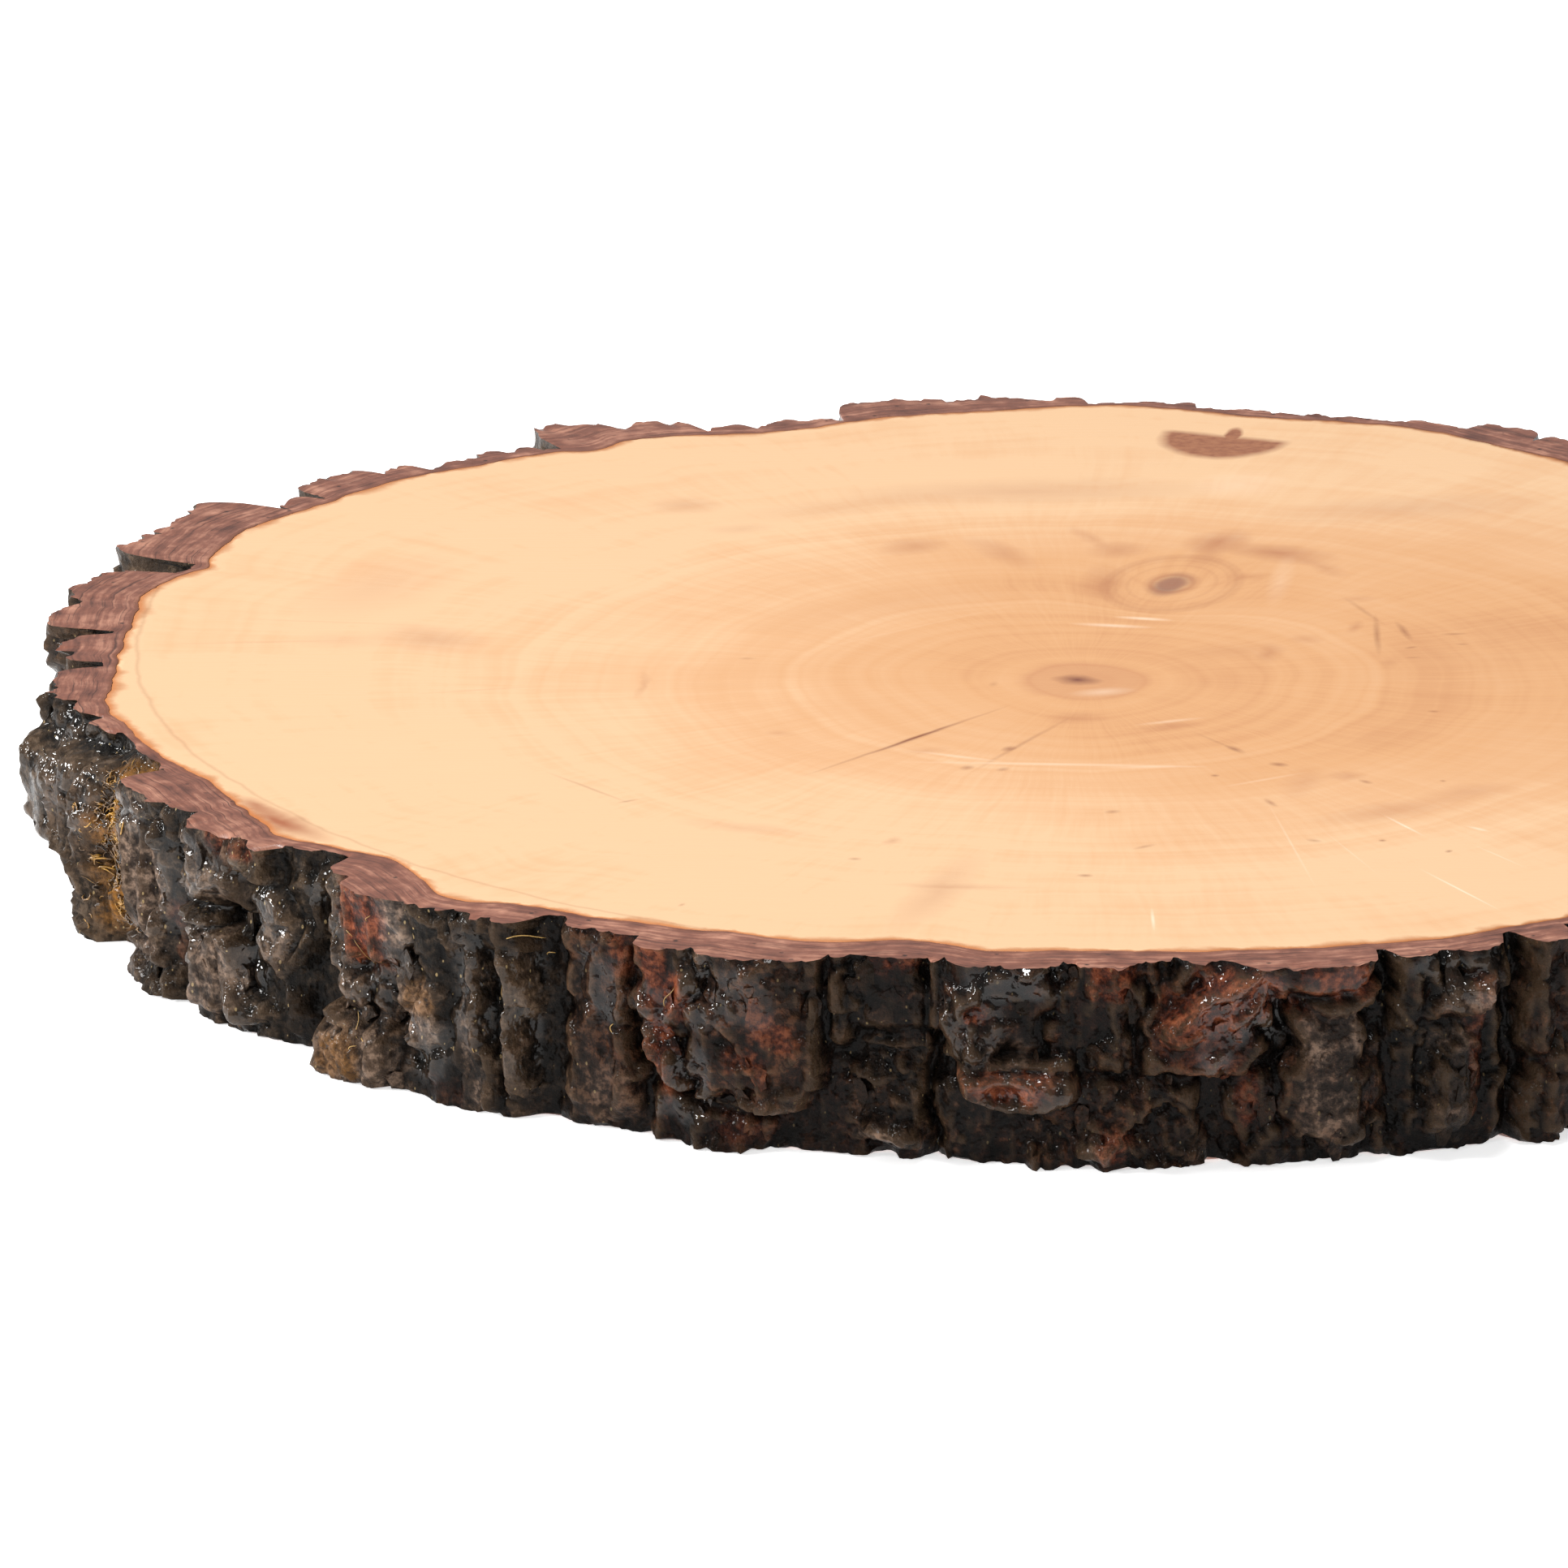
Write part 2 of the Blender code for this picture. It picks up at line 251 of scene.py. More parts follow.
def scales(angle, height, wide, high, seed):
    """Cells round scattered points: gap to the nearest border in mm, a random number per cell, and a tilt."""
    around = int(round(GIRTH / wide))
    u, v = (angle % 360) / 360 * around, (height + 20) / high
    i, j = np.floor(u).astype(int), np.floor(v).astype(int)
    draw = np.random.default_rng(seed)
    rows = int(80 / high) + 5
    jitter_u, jitter_v, tone, lean = draw.uniform(0, 1, (4, around, rows))
    near = np.full(np.shape(u), 1e9)
    second = near.copy()
    chosen, tilt = np.zeros_like(near), np.zeros_like(near)
    for di in (-1, 0, 1):
        for dj in (-1, 0, 1):
            a, b = (i + di) % around, j + dj + 1
            du = (i + di + jitter_u[a, b] - u) * wide
            dv = (j + dj + jitter_v[a, b] - v) * high
            far = np.hypot(du, dv)
            closer = far < near
            second = np.where(closer, near, np.minimum(second, far))
            chosen = np.where(closer, tone[a, b], chosen)
            slope = np.cos(2 * np.pi * lean[a, b]) * du + np.sin(2 * np.pi * lean[a, b]) * dv
            tilt = np.where(closer, slope, tilt)
            near = np.where(closer, far, near)
    return second - near, chosen, tilt


def terraces(t):
    """Steps: the whole part of t, plus a steep rise in the last third of each step."""
    return np.floor(t) + step(0.62, 1.0, t - np.floor(t))


print("girth of the bark for the patterns:", round(GIRTH), "mm")

# %% [markdown]
# Furrowed bark
#
# On the real slice the bark breaks into upright plates. Each plate is cracked into scales, flakes lie
# on it in thin layers, and fine ridges run with the trunk. All of it can be one height over the ring:
# the plates from the tables, read through a wandering grid so that no edge is straight, plus cracks,
# steps and fibres. One closed ring mesh with its points about 0.6 mm apart holds it, and the finish's
# bump carries what is finer.

# %% The bark's relief
COLUMNS = 1600
SIDE_ROWS = 46
CUT_RINGS = 8

# Hollows and knobs that the tables' square plates can't give: angle, height, half width in degrees,
# half height, and rise
DINTS = (
    (188, 2.6, 6.2, 5.6, -4.2), (192.5, 28.6, 6, 1.6, -1.6), (191.4, 16, 0.55, 14, -4.5),
    (204.6, 18, 0.45, 2, -2.2), (215.4, 17.5, 1.6, 3, -1.4), (222.6, 15, 1, 10, -1.2),
    (226.6, 4.5, 2.4, 4.2, 0.9), (239.4, 14, 0.9, 13, -1), (247, 24, 1.2, 4.5, -1.5),
    (252, 9, 2.8, 1.8, 0.9), (258.9, 1.5, 0.8, 2.6, -2), (259, 4.4, 1.3, 1.2, 0.9),
    (264.4, 23, 0.75, 2.2, -1.9), (264.4, 23, 1.3, 3.3, 0.9), (266.2, 12, 1.5, 1.7, -1.7),
    (266.5, 27.5, 1.8, 1.6, 0.8), (271, 4, 1.1, 2, 0.9), (276.9, 24, 0.7, 4, -1), (283, 14, 1.8, 9.5, 0.9),
    (290.9, 23.2, 1.4, 2, 1), (290.3, 12, 1.2, 6.5, 0.7), (292.6, 18, 0.5, 9, -0.9),
    (213.8, 8, 2.3, 5, -0.5), (206, 14, 1.8, 7, 0.4),
)

# The underside's edge where bark has broken away: angle, half width in degrees, height of the notch
NOTCHES = (
    (277, 0.75, 3), (262.1, 0.35, 1.6), (253.8, 0.4, 1.4), (286.3, 0.6, 1.8), (294, 0.5, 2.6),
    (222.4, 1.1, 2.4), (210.9, 0.3, 1.2), (239.3, 0.8, 1.6), (245.6, 0.4, 1.2), (258.9, 0.7, 1.2),
)

# Crests and cracks drawn along the bark: the points they pass (angle, height), half width, rise
SEAMS = (
    (((195.4, 26.5), (195.1, 20), (195.5, 13), (195.2, 7)), 0.9, -3.4),
    (((187, 24), (187.4, 18), (187, 11)), 0.7, 1), (((191, 26), (191.4, 17), (190.8, 8)), 0.9, -3.2),
    (((196, 26), (196.3, 18), (195.8, 10), (196.2, 2)), 0.8, 0.9),
    (((198, 25), (198.3, 15), (198, 3)), 0.8, -1.3), (((199.6, 24), (199.3, 14), (199.8, 5)), 0.8, 0.9),
    (((204, 26.3), (205.5, 25.8), (207.2, 26), (208.8, 26.6)), 0.5, -0.9),
    (((207.3, 25), (207, 20), (207.5, 16.5), (207.7, 11), (207.2, 6)), 0.7, -2),
    (((208.9, 25.5), (208.7, 21), (208.3, 17.5), (208.6, 12), (208, 7)), 0.9, 1.2),
    (((210, 27), (209.8, 20), (210.2, 12), (210, 4)), 1.2, -2.2),
    (((211.4, 27), (211.9, 21), (212.6, 18.5), (211.5, 13), (211.4, 8)), 0.9, 1.2),
    (((212.6, 28.5), (213.4, 25), (212.9, 21.5)), 0.7, 0.7),
    (((212.6, 14.5), (213, 9), (212.6, 2)), 0.5, 1.3), (((214.6, 13), (214.9, 7), (214.5, 1)), 0.5, -1.4),
    (((205, 24), (205.4, 16), (204.9, 8)), 0.5, 1), (((206.3, 24), (206, 15), (206.4, 7)), 0.5, -1),
    (((216, 25.5), (215.6, 23.3), (214.2, 21.5), (213.2, 19.5)), 0.7, 1.1),
    (((213.8, 19), (214.8, 16.8), (216.6, 15)), 1.4, -1.2),
    (((212.8, 15.6), (214.8, 14.2), (216.6, 13.3), (216.9, 8), (216.9, 3)), 0.8, 1.3),
    (((217.6, 21.8), (217.4, 18), (218.6, 13)), 0.7, 0.9),
    (((219.6, 22), (219.9, 17), (219.4, 13)), 0.7, 0.9), (((218.8, 23), (221.1, 25.4)), 0.6, 0.8),
    (((222.3, 26.5), (221.7, 23), (222.1, 19), (221.2, 15), (220.1, 12.5), (219.9, 10), (220.5, 7),
      (220.2, 2.5)), 1, 2),
    (((222.9, 28.5), (222.9, 20), (223.2, 12), (223, 5)), 0.8, -1.6),
    (((224.2, 28.5), (223.8, 24), (224.6, 18), (225.2, 14.5)), 0.8, 0.9),
    (((225.2, 27), (225.4, 19)), 0.6, -0.9),
    (((226.3, 15.5), (227.3, 18.2), (229.4, 18.9), (230.6, 20.3)), 0.45, -1.3),
    (((225.6, 9.8), (228.4, 9.5), (229.4, 10.6)), 0.5, -1),
    (((226.2, 13.5), (228.6, 11.9), (229.6, 12.6)), 0.5, 0.5),
    (((224.2, 8), (226, 8.6), (228, 7.6), (228.9, 4), (228.8, 1)), 0.8, 0.7),
    (((229.6, 18), (229.5, 14), (230.3, 10), (230.9, 5)), 0.7, -1.5),
    (((230.4, 17.6), (231.2, 18.2), (232, 17.3), (232.8, 18.2), (233.2, 15.5), (232.9, 11.5)), 0.6, 0.9),
    (((231, 10.8), (231.6, 8), (232.6, 7), (232.2, 4)), 0.8, 1.2),
    (((234.3, 26), (235.3, 26.5), (235.6, 24), (235, 20.5), (235.7, 17.5), (235.3, 14), (236, 10),
      (236.3, 1)), 0.8, 1.6),
    (((237.3, 25.5), (238, 20.5), (237.5, 15), (237.9, 10), (237.6, 6)), 0.8, 1.3),
    (((236.7, 22), (236.9, 12), (237, 4)), 0.7, -1.2), (((240.2, 29), (240, 18), (240.4, 10)), 1.2, -2.2),
    (((243.3, 27), (242.5, 24.5), (242.4, 21)), 0.6, 1),
    (((241.3, 20), (242.8, 17.5), (243.2, 13)), 0.6, -0.7),
    (((244.5, 21), (244, 15), (244.3, 8), (243.6, 3)), 0.7, 0.9),
    (((245.2, 29), (244.9, 24), (245.5, 20), (245, 12)), 0.6, -1.8),
    (((248.8, 26.5), (248.3, 22), (247.2, 18.9)), 0.7, 1.2),
    (((249.2, 29), (249.1, 25), (248.9, 21.8)), 0.5, 1.4), (((249.8, 28), (249.7, 23)), 0.6, -1.3),
    (((252.8, 28.5), (251.2, 26.3), (250.8, 23.5), (251.4, 21.5)), 0.6, 0.9),
    (((247.6, 14), (247.7, 10.6), (248.8, 8.3), (251, 7.2), (253.2, 8.6)), 0.8, 1.6),
    (((248.6, 14.6), (249.1, 12.5), (248.6, 10.3)), 0.5, 1),
    (((249.2, 6.4), (251.6, 5.9), (253.6, 6.8)), 0.8, -1.6),
    (((255, 16.8), (253.8, 14.2), (251.6, 13.2)), 0.6, 0.8),
    (((257.2, 17), (257.8, 17.6), (258.8, 17.3), (259.3, 17.8), (260.4, 17.2), (261.2, 17.4)), 0.35, -1.4),
    (((261.8, 20), (261.6, 12), (262, 3)), 0.4, -0.9),
    (((257.7, 5), (258.6, 5.6), (260, 4.6), (260.8, 3)), 0.7, 1),
    (((262.3, 22), (263.4, 25), (265, 26.2), (266.5, 25.5)), 0.7, 0.9),
    (((264, 26), (265.6, 28.5), (267.6, 28.8), (268.2, 25.5)), 0.8, 1),
    (((263.6, 24.5), (264.3, 25), (264.9, 23.5), (264.3, 21.5), (263.5, 22.3)), 0.45, 0.8),
    (((265.4, 20.6), (265.3, 18.6), (264.2, 17.5)), 0.6, 1),
    (((263.6, 12.4), (265.4, 10.6), (267.3, 9.6), (268.6, 9)), 0.6, 1.3),
    (((263.4, 14.6), (264.6, 14.2), (266.6, 14.8), (268.8, 15.2)), 0.5, 0.8),
    (((267.5, 13.6), (267, 11.8)), 0.5, 0.8), (((269.2, 15), (269.4, 11)), 0.5, 0.9),
    (((268.4, 21.5), (268, 18), (269.2, 16)), 0.6, 0.8),
    (((269.9, 29.5), (269.4, 22), (269.7, 16.5)), 0.5, -0.7), (((273.7, 25.8), (273.5, 21.5)), 0.7, 1.2),
    (((274.1, 31), (274.2, 25.5)), 0.7, -1.3), (((276.5, 30.5), (276.2, 25)), 0.5, 0.7),
    (((279.8, 30.4), (277.7, 26.6), (276.2, 24.8), (274.4, 20.6)), 0.7, 1.5),
    (((280.3, 29.2), (279.4, 25), (277.6, 21.5), (275.2, 19.6)), 0.7, 1.3),
    (((278.9, 31), (277.2, 28.4), (276, 26.4)), 0.6, -1.2), (((277.3, 17.6), (276.6, 15.4)), 0.5, 1.1),
    (((279.6, 19.6), (279.3, 17), (278.6, 15.6)), 0.5, 0.9),
    (((273.2, 17.5), (274.8, 15), (277, 14.6)), 0.7, 0.9),
    (((281, 25), (284.4, 25.2), (286.4, 27.6)), 0.6, -2.2),
    (((281.2, 6), (281, 14), (281.2, 22), (282, 23.6), (283.6, 23.6), (284.8, 20), (285.2, 12)), 0.8, 0.5),
    (((286.8, 28), (286.7, 18), (287, 4)), 0.9, -1.2),
    (((288, 22), (288.4, 26.6), (290, 28.4), (291.8, 27.4), (292.6, 24), (292.9, 12), (293.1, 2)), 0.9, 0.7),
    (((290.2, 24.8), (291.4, 25.2), (292, 22.8), (290.9, 21.2), (289.9, 22.6)), 0.6, 0.8),
    (((288.9, 19), (289.8, 17.6), (289.2, 12), (289.6, 5)), 0.7, 0.8),
    (((294.2, 31), (294.1, 20), (294.3, 8)), 0.7, -2.2),
)
# Raised strips with flat tops, in the same order
STRIPS = (
    (((246.2, 20.5), (246.5, 14), (247.2, 8.5)), 1.6, 1.2),
    (((264.2, 13.2), (266.5, 12.4), (269, 12.8)), 2.4, 0.9),
    (((208.7, 26), (208.6, 16), (208.4, 7)), 1.3, 0.8),
    (((247.6, 14), (247.8, 10.3), (248.9, 8.2), (251, 7.2), (253.2, 8.4)), 1.3, 1.2),
    (((222.2, 26), (221.9, 19), (220.4, 12), (220.4, 3)), 1.5, 0.9), (((218.6, 21), (218.8, 14.5)), 2, 0.9),
    (((235.4, 25), (235.4, 14), (236.2, 2)), 1.6, 0.7), (((237.6, 24), (237.6, 8)), 1.4, 0.5),
)

# Broken slabs that bridge the square plates: the points they pass, half width, outer radius
SLABS = (
    (((280.2, 31), (277.8, 26), (275, 20)), 3.6, 149.6), (((276.6, 31), (275.2, 26.5)), 1.5, 146.6),
    (((226.2, 17), (230, 18.2)), 1.4, 147.4), (((263.6, 15.8), (269.2, 16)), 1.2, 148.4),
    (((255.4, 17.3), (261.4, 17.3)), 1.4, 144.6), (((281.2, 24.4), (285.6, 24.4)), 1.3, 147),
    (((286.4, 29), (286.6, 4)), 1.6, 145), (((248, 14), (253, 9)), 3, 148.6),
    (((231, 9), (233, 3)), 2, 147.6), (((269.8, 29), (269.8, 16)), 1.4, 144.8),
    (((203.6, 5.5), (208.4, 5.5)), 2.2, 149.8), (((211.6, 15.6), (213.4, 15.6)), 1.8, 149),
    (((224.6, 9.2), (229, 9.2)), 1.8, 148.8), (((230.6, 18), (233.4, 18)), 1.5, 148.6),
    (((245.8, 17.5), (248.2, 17.5)), 1.5, 148.4), (((269, 15), (272.5, 15)), 1.1, 145.2),
    (((261.9, 31), (261.9, 20)), 1.3, 145.6), (((273.1, 31), (273.1, 15)), 1.1, 144.8),
    (((255.1, 31), (255.3, 12)), 2.2, 149), (((256.6, 31), (256.6, 18)), 2.2, 147),
    (((255.8, 17), (255.9, 4)), 1.3, 143.4), (((237.6, 7), (237.3, 0)), 2, 147.6),
    (((236, 24), (236.2, 2)), 1.6, 147.4), (((226.8, 31), (227, 19.8)), 2.4, 151),
    (((228.8, 31), (229, 19.8)), 2.6, 151.2), (((286.4, 16), (286.6, 2)), 2, 146.4),
)

# Calm places, where a plate is flat and smooth: angle, height, half width in degrees, half height
FLATS = (
    (228.2, 24.4, 2.7, 6.4), (213.9, 7.6, 2.6, 6.6), (205.4, 16, 1.9, 11), (259.6, 23.8, 1.9, 6.2),
    (247, 24, 1.5, 5), (283.2, 27.8, 2.8, 2.2), (267.5, 22, 1.6, 6), (242.6, 14, 1.4, 12),
    (253, 23, 1.9, 6), (283.2, 15, 1.6, 8), (190, 14, 4, 10), (277.4, 23, 3, 8),
)
HIDDEN_SEAMS = 150
SEAM_GAIN = 1.05
# Millimetres along the bark in one degree
DEGREE = 2.62


def hidden_seams(draw):
    """Wandering upright seams for the sides that the photo doesn't show, two in five of them cracks."""
    made = []
    for at in 295.0 + 267.0 * (np.arange(HIDDEN_SEAMS) + draw.uniform(0, 1, HIDDEN_SEAMS)) / HIDDEN_SEAMS:
        low = draw.uniform(0, 18)
        heights = np.linspace(low, min(low + draw.uniform(6, 24), 29.5), 5)
        angles = at + np.cumsum(draw.normal(0, 0.45, 5))
        rise = draw.uniform(0.7, 1.8) if draw.random() < 0.6 else -draw.uniform(1.0, 2.2)
        made.append((tuple(zip(angles, heights)), draw.uniform(0.5, 1.0), rise))
    return made


def seam_distance(angle, height, points):
    """Distance in millimetres to a broken line: the least of the distances to its straight stretches."""
    nearest = np.full(np.shape(angle), 1e9)
    for (from_angle, from_height), (to_angle, to_height) in zip(points[:-1], points[1:]):
        du, dv = turned(angle - from_angle) * DEGREE, height - from_height
        su, sv = (to_angle - from_angle) * DEGREE, to_height - from_height
        share = np.clip((du * su + dv * sv) / (su ** 2 + sv ** 2), 0, 1)
        nearest = np.minimum(nearest, np.hypot(du - share * su, dv - share * sv))
    return nearest


def bell(angle, height, at, level, wide, high):
    """exp(-(du^4 + dv^4)), a flat-topped bell of the given half sizes."""
    return np.exp(-(turned(angle - at) / wide) ** 4 - ((height - level) / high) ** 4)


def ridged(angle, height, wide, high, seed):
    """1 - 2 |noise|: a field of sharp crests with soft valleys between them."""
    return 1 - 2 * np.abs(noise(angle, height, wide, high, seed))


def bark_surface(angle, height):
    """The fine outer radius, the plates' proudness over the inner bark, and the plate numbers.

    The tables are read at places shifted by noise of 6 mm and 2 mm grain. Then come upright folds
    with sharp crests, split faces of about 5 by 17 mm that tilt each its own way, slanted chips of
    7 mm, small scales, terraces of thin flakes, fibres along the trunk, and grit. Last come the
    strips, seams and dints of the tables.
    """
    free = 0.3 + 0.7 * step(0.0, 6.0, THICKNESS - height)
    side = 0.26 * fractal(angle, height, 6, 12, 11) + 0.10 * noise(angle, height, 2.0, 4.0, 12)
    rise = 0.7 * fractal(angle, height, 6, 7, 13)
    form, number = bark_form(angle + side * free, height + rise * free, crown=0.06, ease=0.34)
    floor = wood_edge(angle) + INNER_BARK
    for points, wide, outer in SLABS:
        away = seam_distance(angle + 0.5 * side, height + 0.5 * rise, points)
        form = np.maximum(form, floor + (outer - floor) * np.exp(-(away / wide) ** 3))
    proud = form - floor
    on_plate = step(0.6, 3.0, proud)
    bent = angle + 0.9 * noise(angle, height, 12, 14, 15)
    folds = ridged(bent, height, 6.5, 34, 16) + 0.4 * ridged(bent, height, 3.2, 24, 17) - 0.5
    relief = 0.42 * folds * (0.45 + 0.55 * on_plate)
    gap, tone, tilt = scales(angle + side, height + 4 * noise(angle, height, 9, 9, 21), 5.5, 17.0, 22)
    relief += on_plate * (0.9 * (tone - 0.5) + 0.13 * tilt - 0.45 * np.exp(-(gap / 0.45) ** 2))
    slanted = angle + 0.26 * (height - 15.0) + side
    chip_gap, chip_tone, chip_tilt = scales(slanted, height, 7.5, 7.0, 28)
    relief += on_plate * (0.4 * (chip_tone - 0.5) + 0.15 * chip_tilt - 0.08 * np.exp(-(chip_gap / 0.4) ** 2))
    small_gap, small_tone, small_tilt = scales(angle + 0.5 * side, height, 2.4, 5.0, 24)
    relief += 0.16 * (small_tone - 0.5) + 0.12 * small_tilt - 0.05 * np.exp(-(small_gap / 0.45) ** 2)
    layers = terraces(1.8 * fractal(angle, height, 7, 16, 41) + 0.25 * noise(angle, height, 1.6, 2.4, 43))
    relief += 0.34 * layers * (0.3 + 0.7 * on_plate)
    fibres = 0.20 * ridged(angle + 0.6 * side, height, 2.2, 18, 51)
    relief += fibres + 0.10 * noise(angle, height, 1.1, 7.0, 52)
    relief += 0.06 * fractal(angle, height, 1.6, 2.4, 61, 2)
    calm = np.max([bell(angle + 0.5 * side, height + 0.5 * rise, *flat) for flat in FLATS], axis=0)
    relief *= 1 - 0.85 * calm
    for points, wide, lift in STRIPS:
        away = seam_distance(angle + 0.5 * side, height + 0.5 * rise, points)
        relief += lift * np.exp(-(away / wide) ** 4)
    for points, wide, lift in list(SEAMS) + hidden_seams(np.random.default_rng(303)):
        away = seam_distance(angle + 0.7 * side, height + 0.5 * rise, points)
        relief += SEAM_GAIN * lift * np.exp(-(np.hypot(away, 0.25) - 0.25) / (0.85 * wide))
    for at, level, wide, high, lift in DINTS:
        relief += lift * bell(angle + side, height, at, level, wide, high)
    return np.maximum(form + relief, wood_edge(angle) + 1.4), proud, number


columns = np.arange(COLUMNS) * 360.0 / COLUMNS
notch = np.zeros(COLUMNS)
for at, wide, high in NOTCHES:
    notch = np.maximum(notch, high * np.exp(-(turned(columns - at) / wide) ** 4))
foot_line = notch + 0.25 + 0.45 * fractal(columns, 0 * columns, 3.0, 3.0, 71, 3).clip(-0.5, 1.5)
head_line = THICKNESS - 0.08 - 0.55 * step(0.15, 0.9, fractal(columns, 0 * columns, 4.0, 4.0, 73, 3))
down = np.linspace(0, 1, SIDE_ROWS + 1)[:, None]
side_height = head_line * (1 - down) + np.maximum(foot_line, 0.02) * down
side_angle = np.broadcast_to(columns, side_height.shape)
fine_edge = wood_edge(columns) + 0.5 * fractal(columns, 0 * columns, 7.0, 7.0, 91, 5).clip(-1.2, 1.2)
side_radius, side_proud, side_number = bark_surface(side_angle, side_height)
print("bark stands", round(float(side_proud.max()), 1), "mm over the inner bark at most")
print("grid of the bark's side:", side_radius.shape, "points")

# %% A closed ring from stacked rings of points


def put_points(mesh, radius, angle, height):
    """Moves a mesh's points to radius, angle and height, brought to the slice's own middle."""
    x = radius * np.cos(np.radians(angle)) - CENTRE[0]
    y = radius * np.sin(np.radians(angle)) - CENTRE[1]
    mesh.vertices.foreach_set("co", (np.stack([x, y, height], axis=-1) * MM).astype(np.float32).ravel())


def stacked(name, radius, height, closed):
    """A mesh of square faces between rings: row after row of points, each row joined to the next.

    Rows go over the outside and downwards, so faces look outwards. Closed joins the last row to the
    first. Otherwise the first and last rows must lie at radius 0, and each becomes one point.
    """
    rows, around = radius.shape
    number = np.arange(rows * around).reshape(rows, around)
    above, below = (number, np.roll(number, -1, axis=0)) if closed else (number[:-1], number[1:])
    corners = [above, below, np.roll(below, -1, axis=1), np.roll(above, -1, axis=1)]
    quads = np.stack(corners, axis=-1).reshape(-1, 4)
    mesh = bpy.data.meshes.new(name)
    mesh.vertices.add(rows * around)
    mesh.loops.add(quads.size)
    mesh.polygons.add(len(quads))
    mesh.loops.foreach_set("vertex_index", quads.ravel())
    mesh.polygons.foreach_set("loop_start", np.arange(len(quads)) * 4)
    put_points(mesh, radius, np.broadcast_to(columns, radius.shape), height)
    mesh.update(calc_edges=True)
    mesh.shade_smooth()
    return mesh


def note(mesh, name, values):
    """Keeps one number per point on the mesh, for the finish to read."""
    kept = mesh.attributes.new(name, "FLOAT", "POINT")
    kept.data.foreach_set("value", np.asarray(values, np.float32).ravel())


def piece(name, mesh):
    """The mesh as an object that rides on the slice."""
    thing = bpy.data.objects.new(name, mesh)
    bpy.context.scene.collection.objects.link(thing)
    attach(thing, "root")
    return thing


def mark_sharp(mesh, rows, around):
    """Marks the edges that run along the given rows as sharp, so that a cut edge stays crisp."""
    ends = np.empty(len(mesh.edges) * 2, int)
    mesh.edges.foreach_get("vertices", ends)
    row_of = ends.reshape(-1, 2) // around
    sharp = (row_of[:, 0] == row_of[:, 1]) & np.isin(row_of[:, 0], rows)
    mesh.edges.foreach_set("use_edge_sharp", sharp)


print("helpers for closed rings are ready")

# %% The bark as one closed ring
inner_edge = fine_edge + 0.03
share = np.linspace(0, 1, CUT_RINGS + 1)[1:, None]
cut_radius = inner_edge + (side_radius[0] - inner_edge) * share
cut_angle = np.broadcast_to(columns, cut_radius.shape)
cut_dips = 0.16 * fractal(cut_angle, cut_radius - WOOD_RADIUS, 5, 2.0, 81, 3).clip(-1, 0.3) - 0.06
cut_height = THICKNESS + cut_dips * np.linspace(0.3, 1, CUT_RINGS)[:, None]
cut_height = np.minimum(cut_height, THICKNESS) * (1 - share ** 6) + side_height[0] * share ** 6
foot_share = np.array([0.8, 0.4])[:, None]
foot_radius = inner_edge + (side_radius[-1] - inner_edge) * foot_share
foot_height = side_height[-1] * np.array([0.2, 0.0])[:, None]

ring_radius = np.concatenate([[inner_edge], cut_radius[:-1], side_radius, foot_radius, [inner_edge]])
first_row = [np.full(COLUMNS, THICKNESS - 0.02)]
ring_height = np.concatenate([first_row, cut_height[:-1], side_height, foot_height, [np.zeros(COLUMNS)]])
bark_mesh = stacked("furrowed_bark", ring_radius, ring_height, closed=True)
FIRST_SIDE = CUT_RINGS
LAST_SIDE = CUT_RINGS + SIDE_ROWS
mark_sharp(bark_mesh, [0, FIRST_SIDE, LAST_SIDE, len(ring_radius) - 1], COLUMNS)
row_of_face = np.arange(len(ring_radius)).repeat(COLUMNS)
is_side = (row_of_face >= FIRST_SIDE) & (row_of_face <= LAST_SIDE)
bark_mesh.polygons.foreach_set("material_index", np.where(is_side, 0, 1))
print("bark:", len(bark_mesh.polygons) * 2, "triangles, rows", ring_radius.shape[0])

# %% [markdown]
# What the bark's finish has to know
#
# A finish that only mixes noises paints red and grey anywhere. Here the colour follows the form: furrows are
# painted almost black as shade, ridges are painted lighter as wear and highlight, and red-brown inner bark
# shows only where a plate broke off. So each point keeps a few numbers worked out from the relief, and a
# table says where the broken places are.

# %% Numbers kept on the bark


def blurred(grid, reach):
    """Mean over a square of neighbours: shifted copies averaged round the ring and then down it."""
    around = sum(np.roll(grid, k, axis=1) for k in range(-reach, reach + 1)) / (2 * reach + 1)
    padded = np.pad(around, ((reach, reach), (0, 0)), mode="edge")
    return sum(padded[k:k + grid.shape[0]] for k in range(2 * reach + 1)) / (2 * reach + 1)


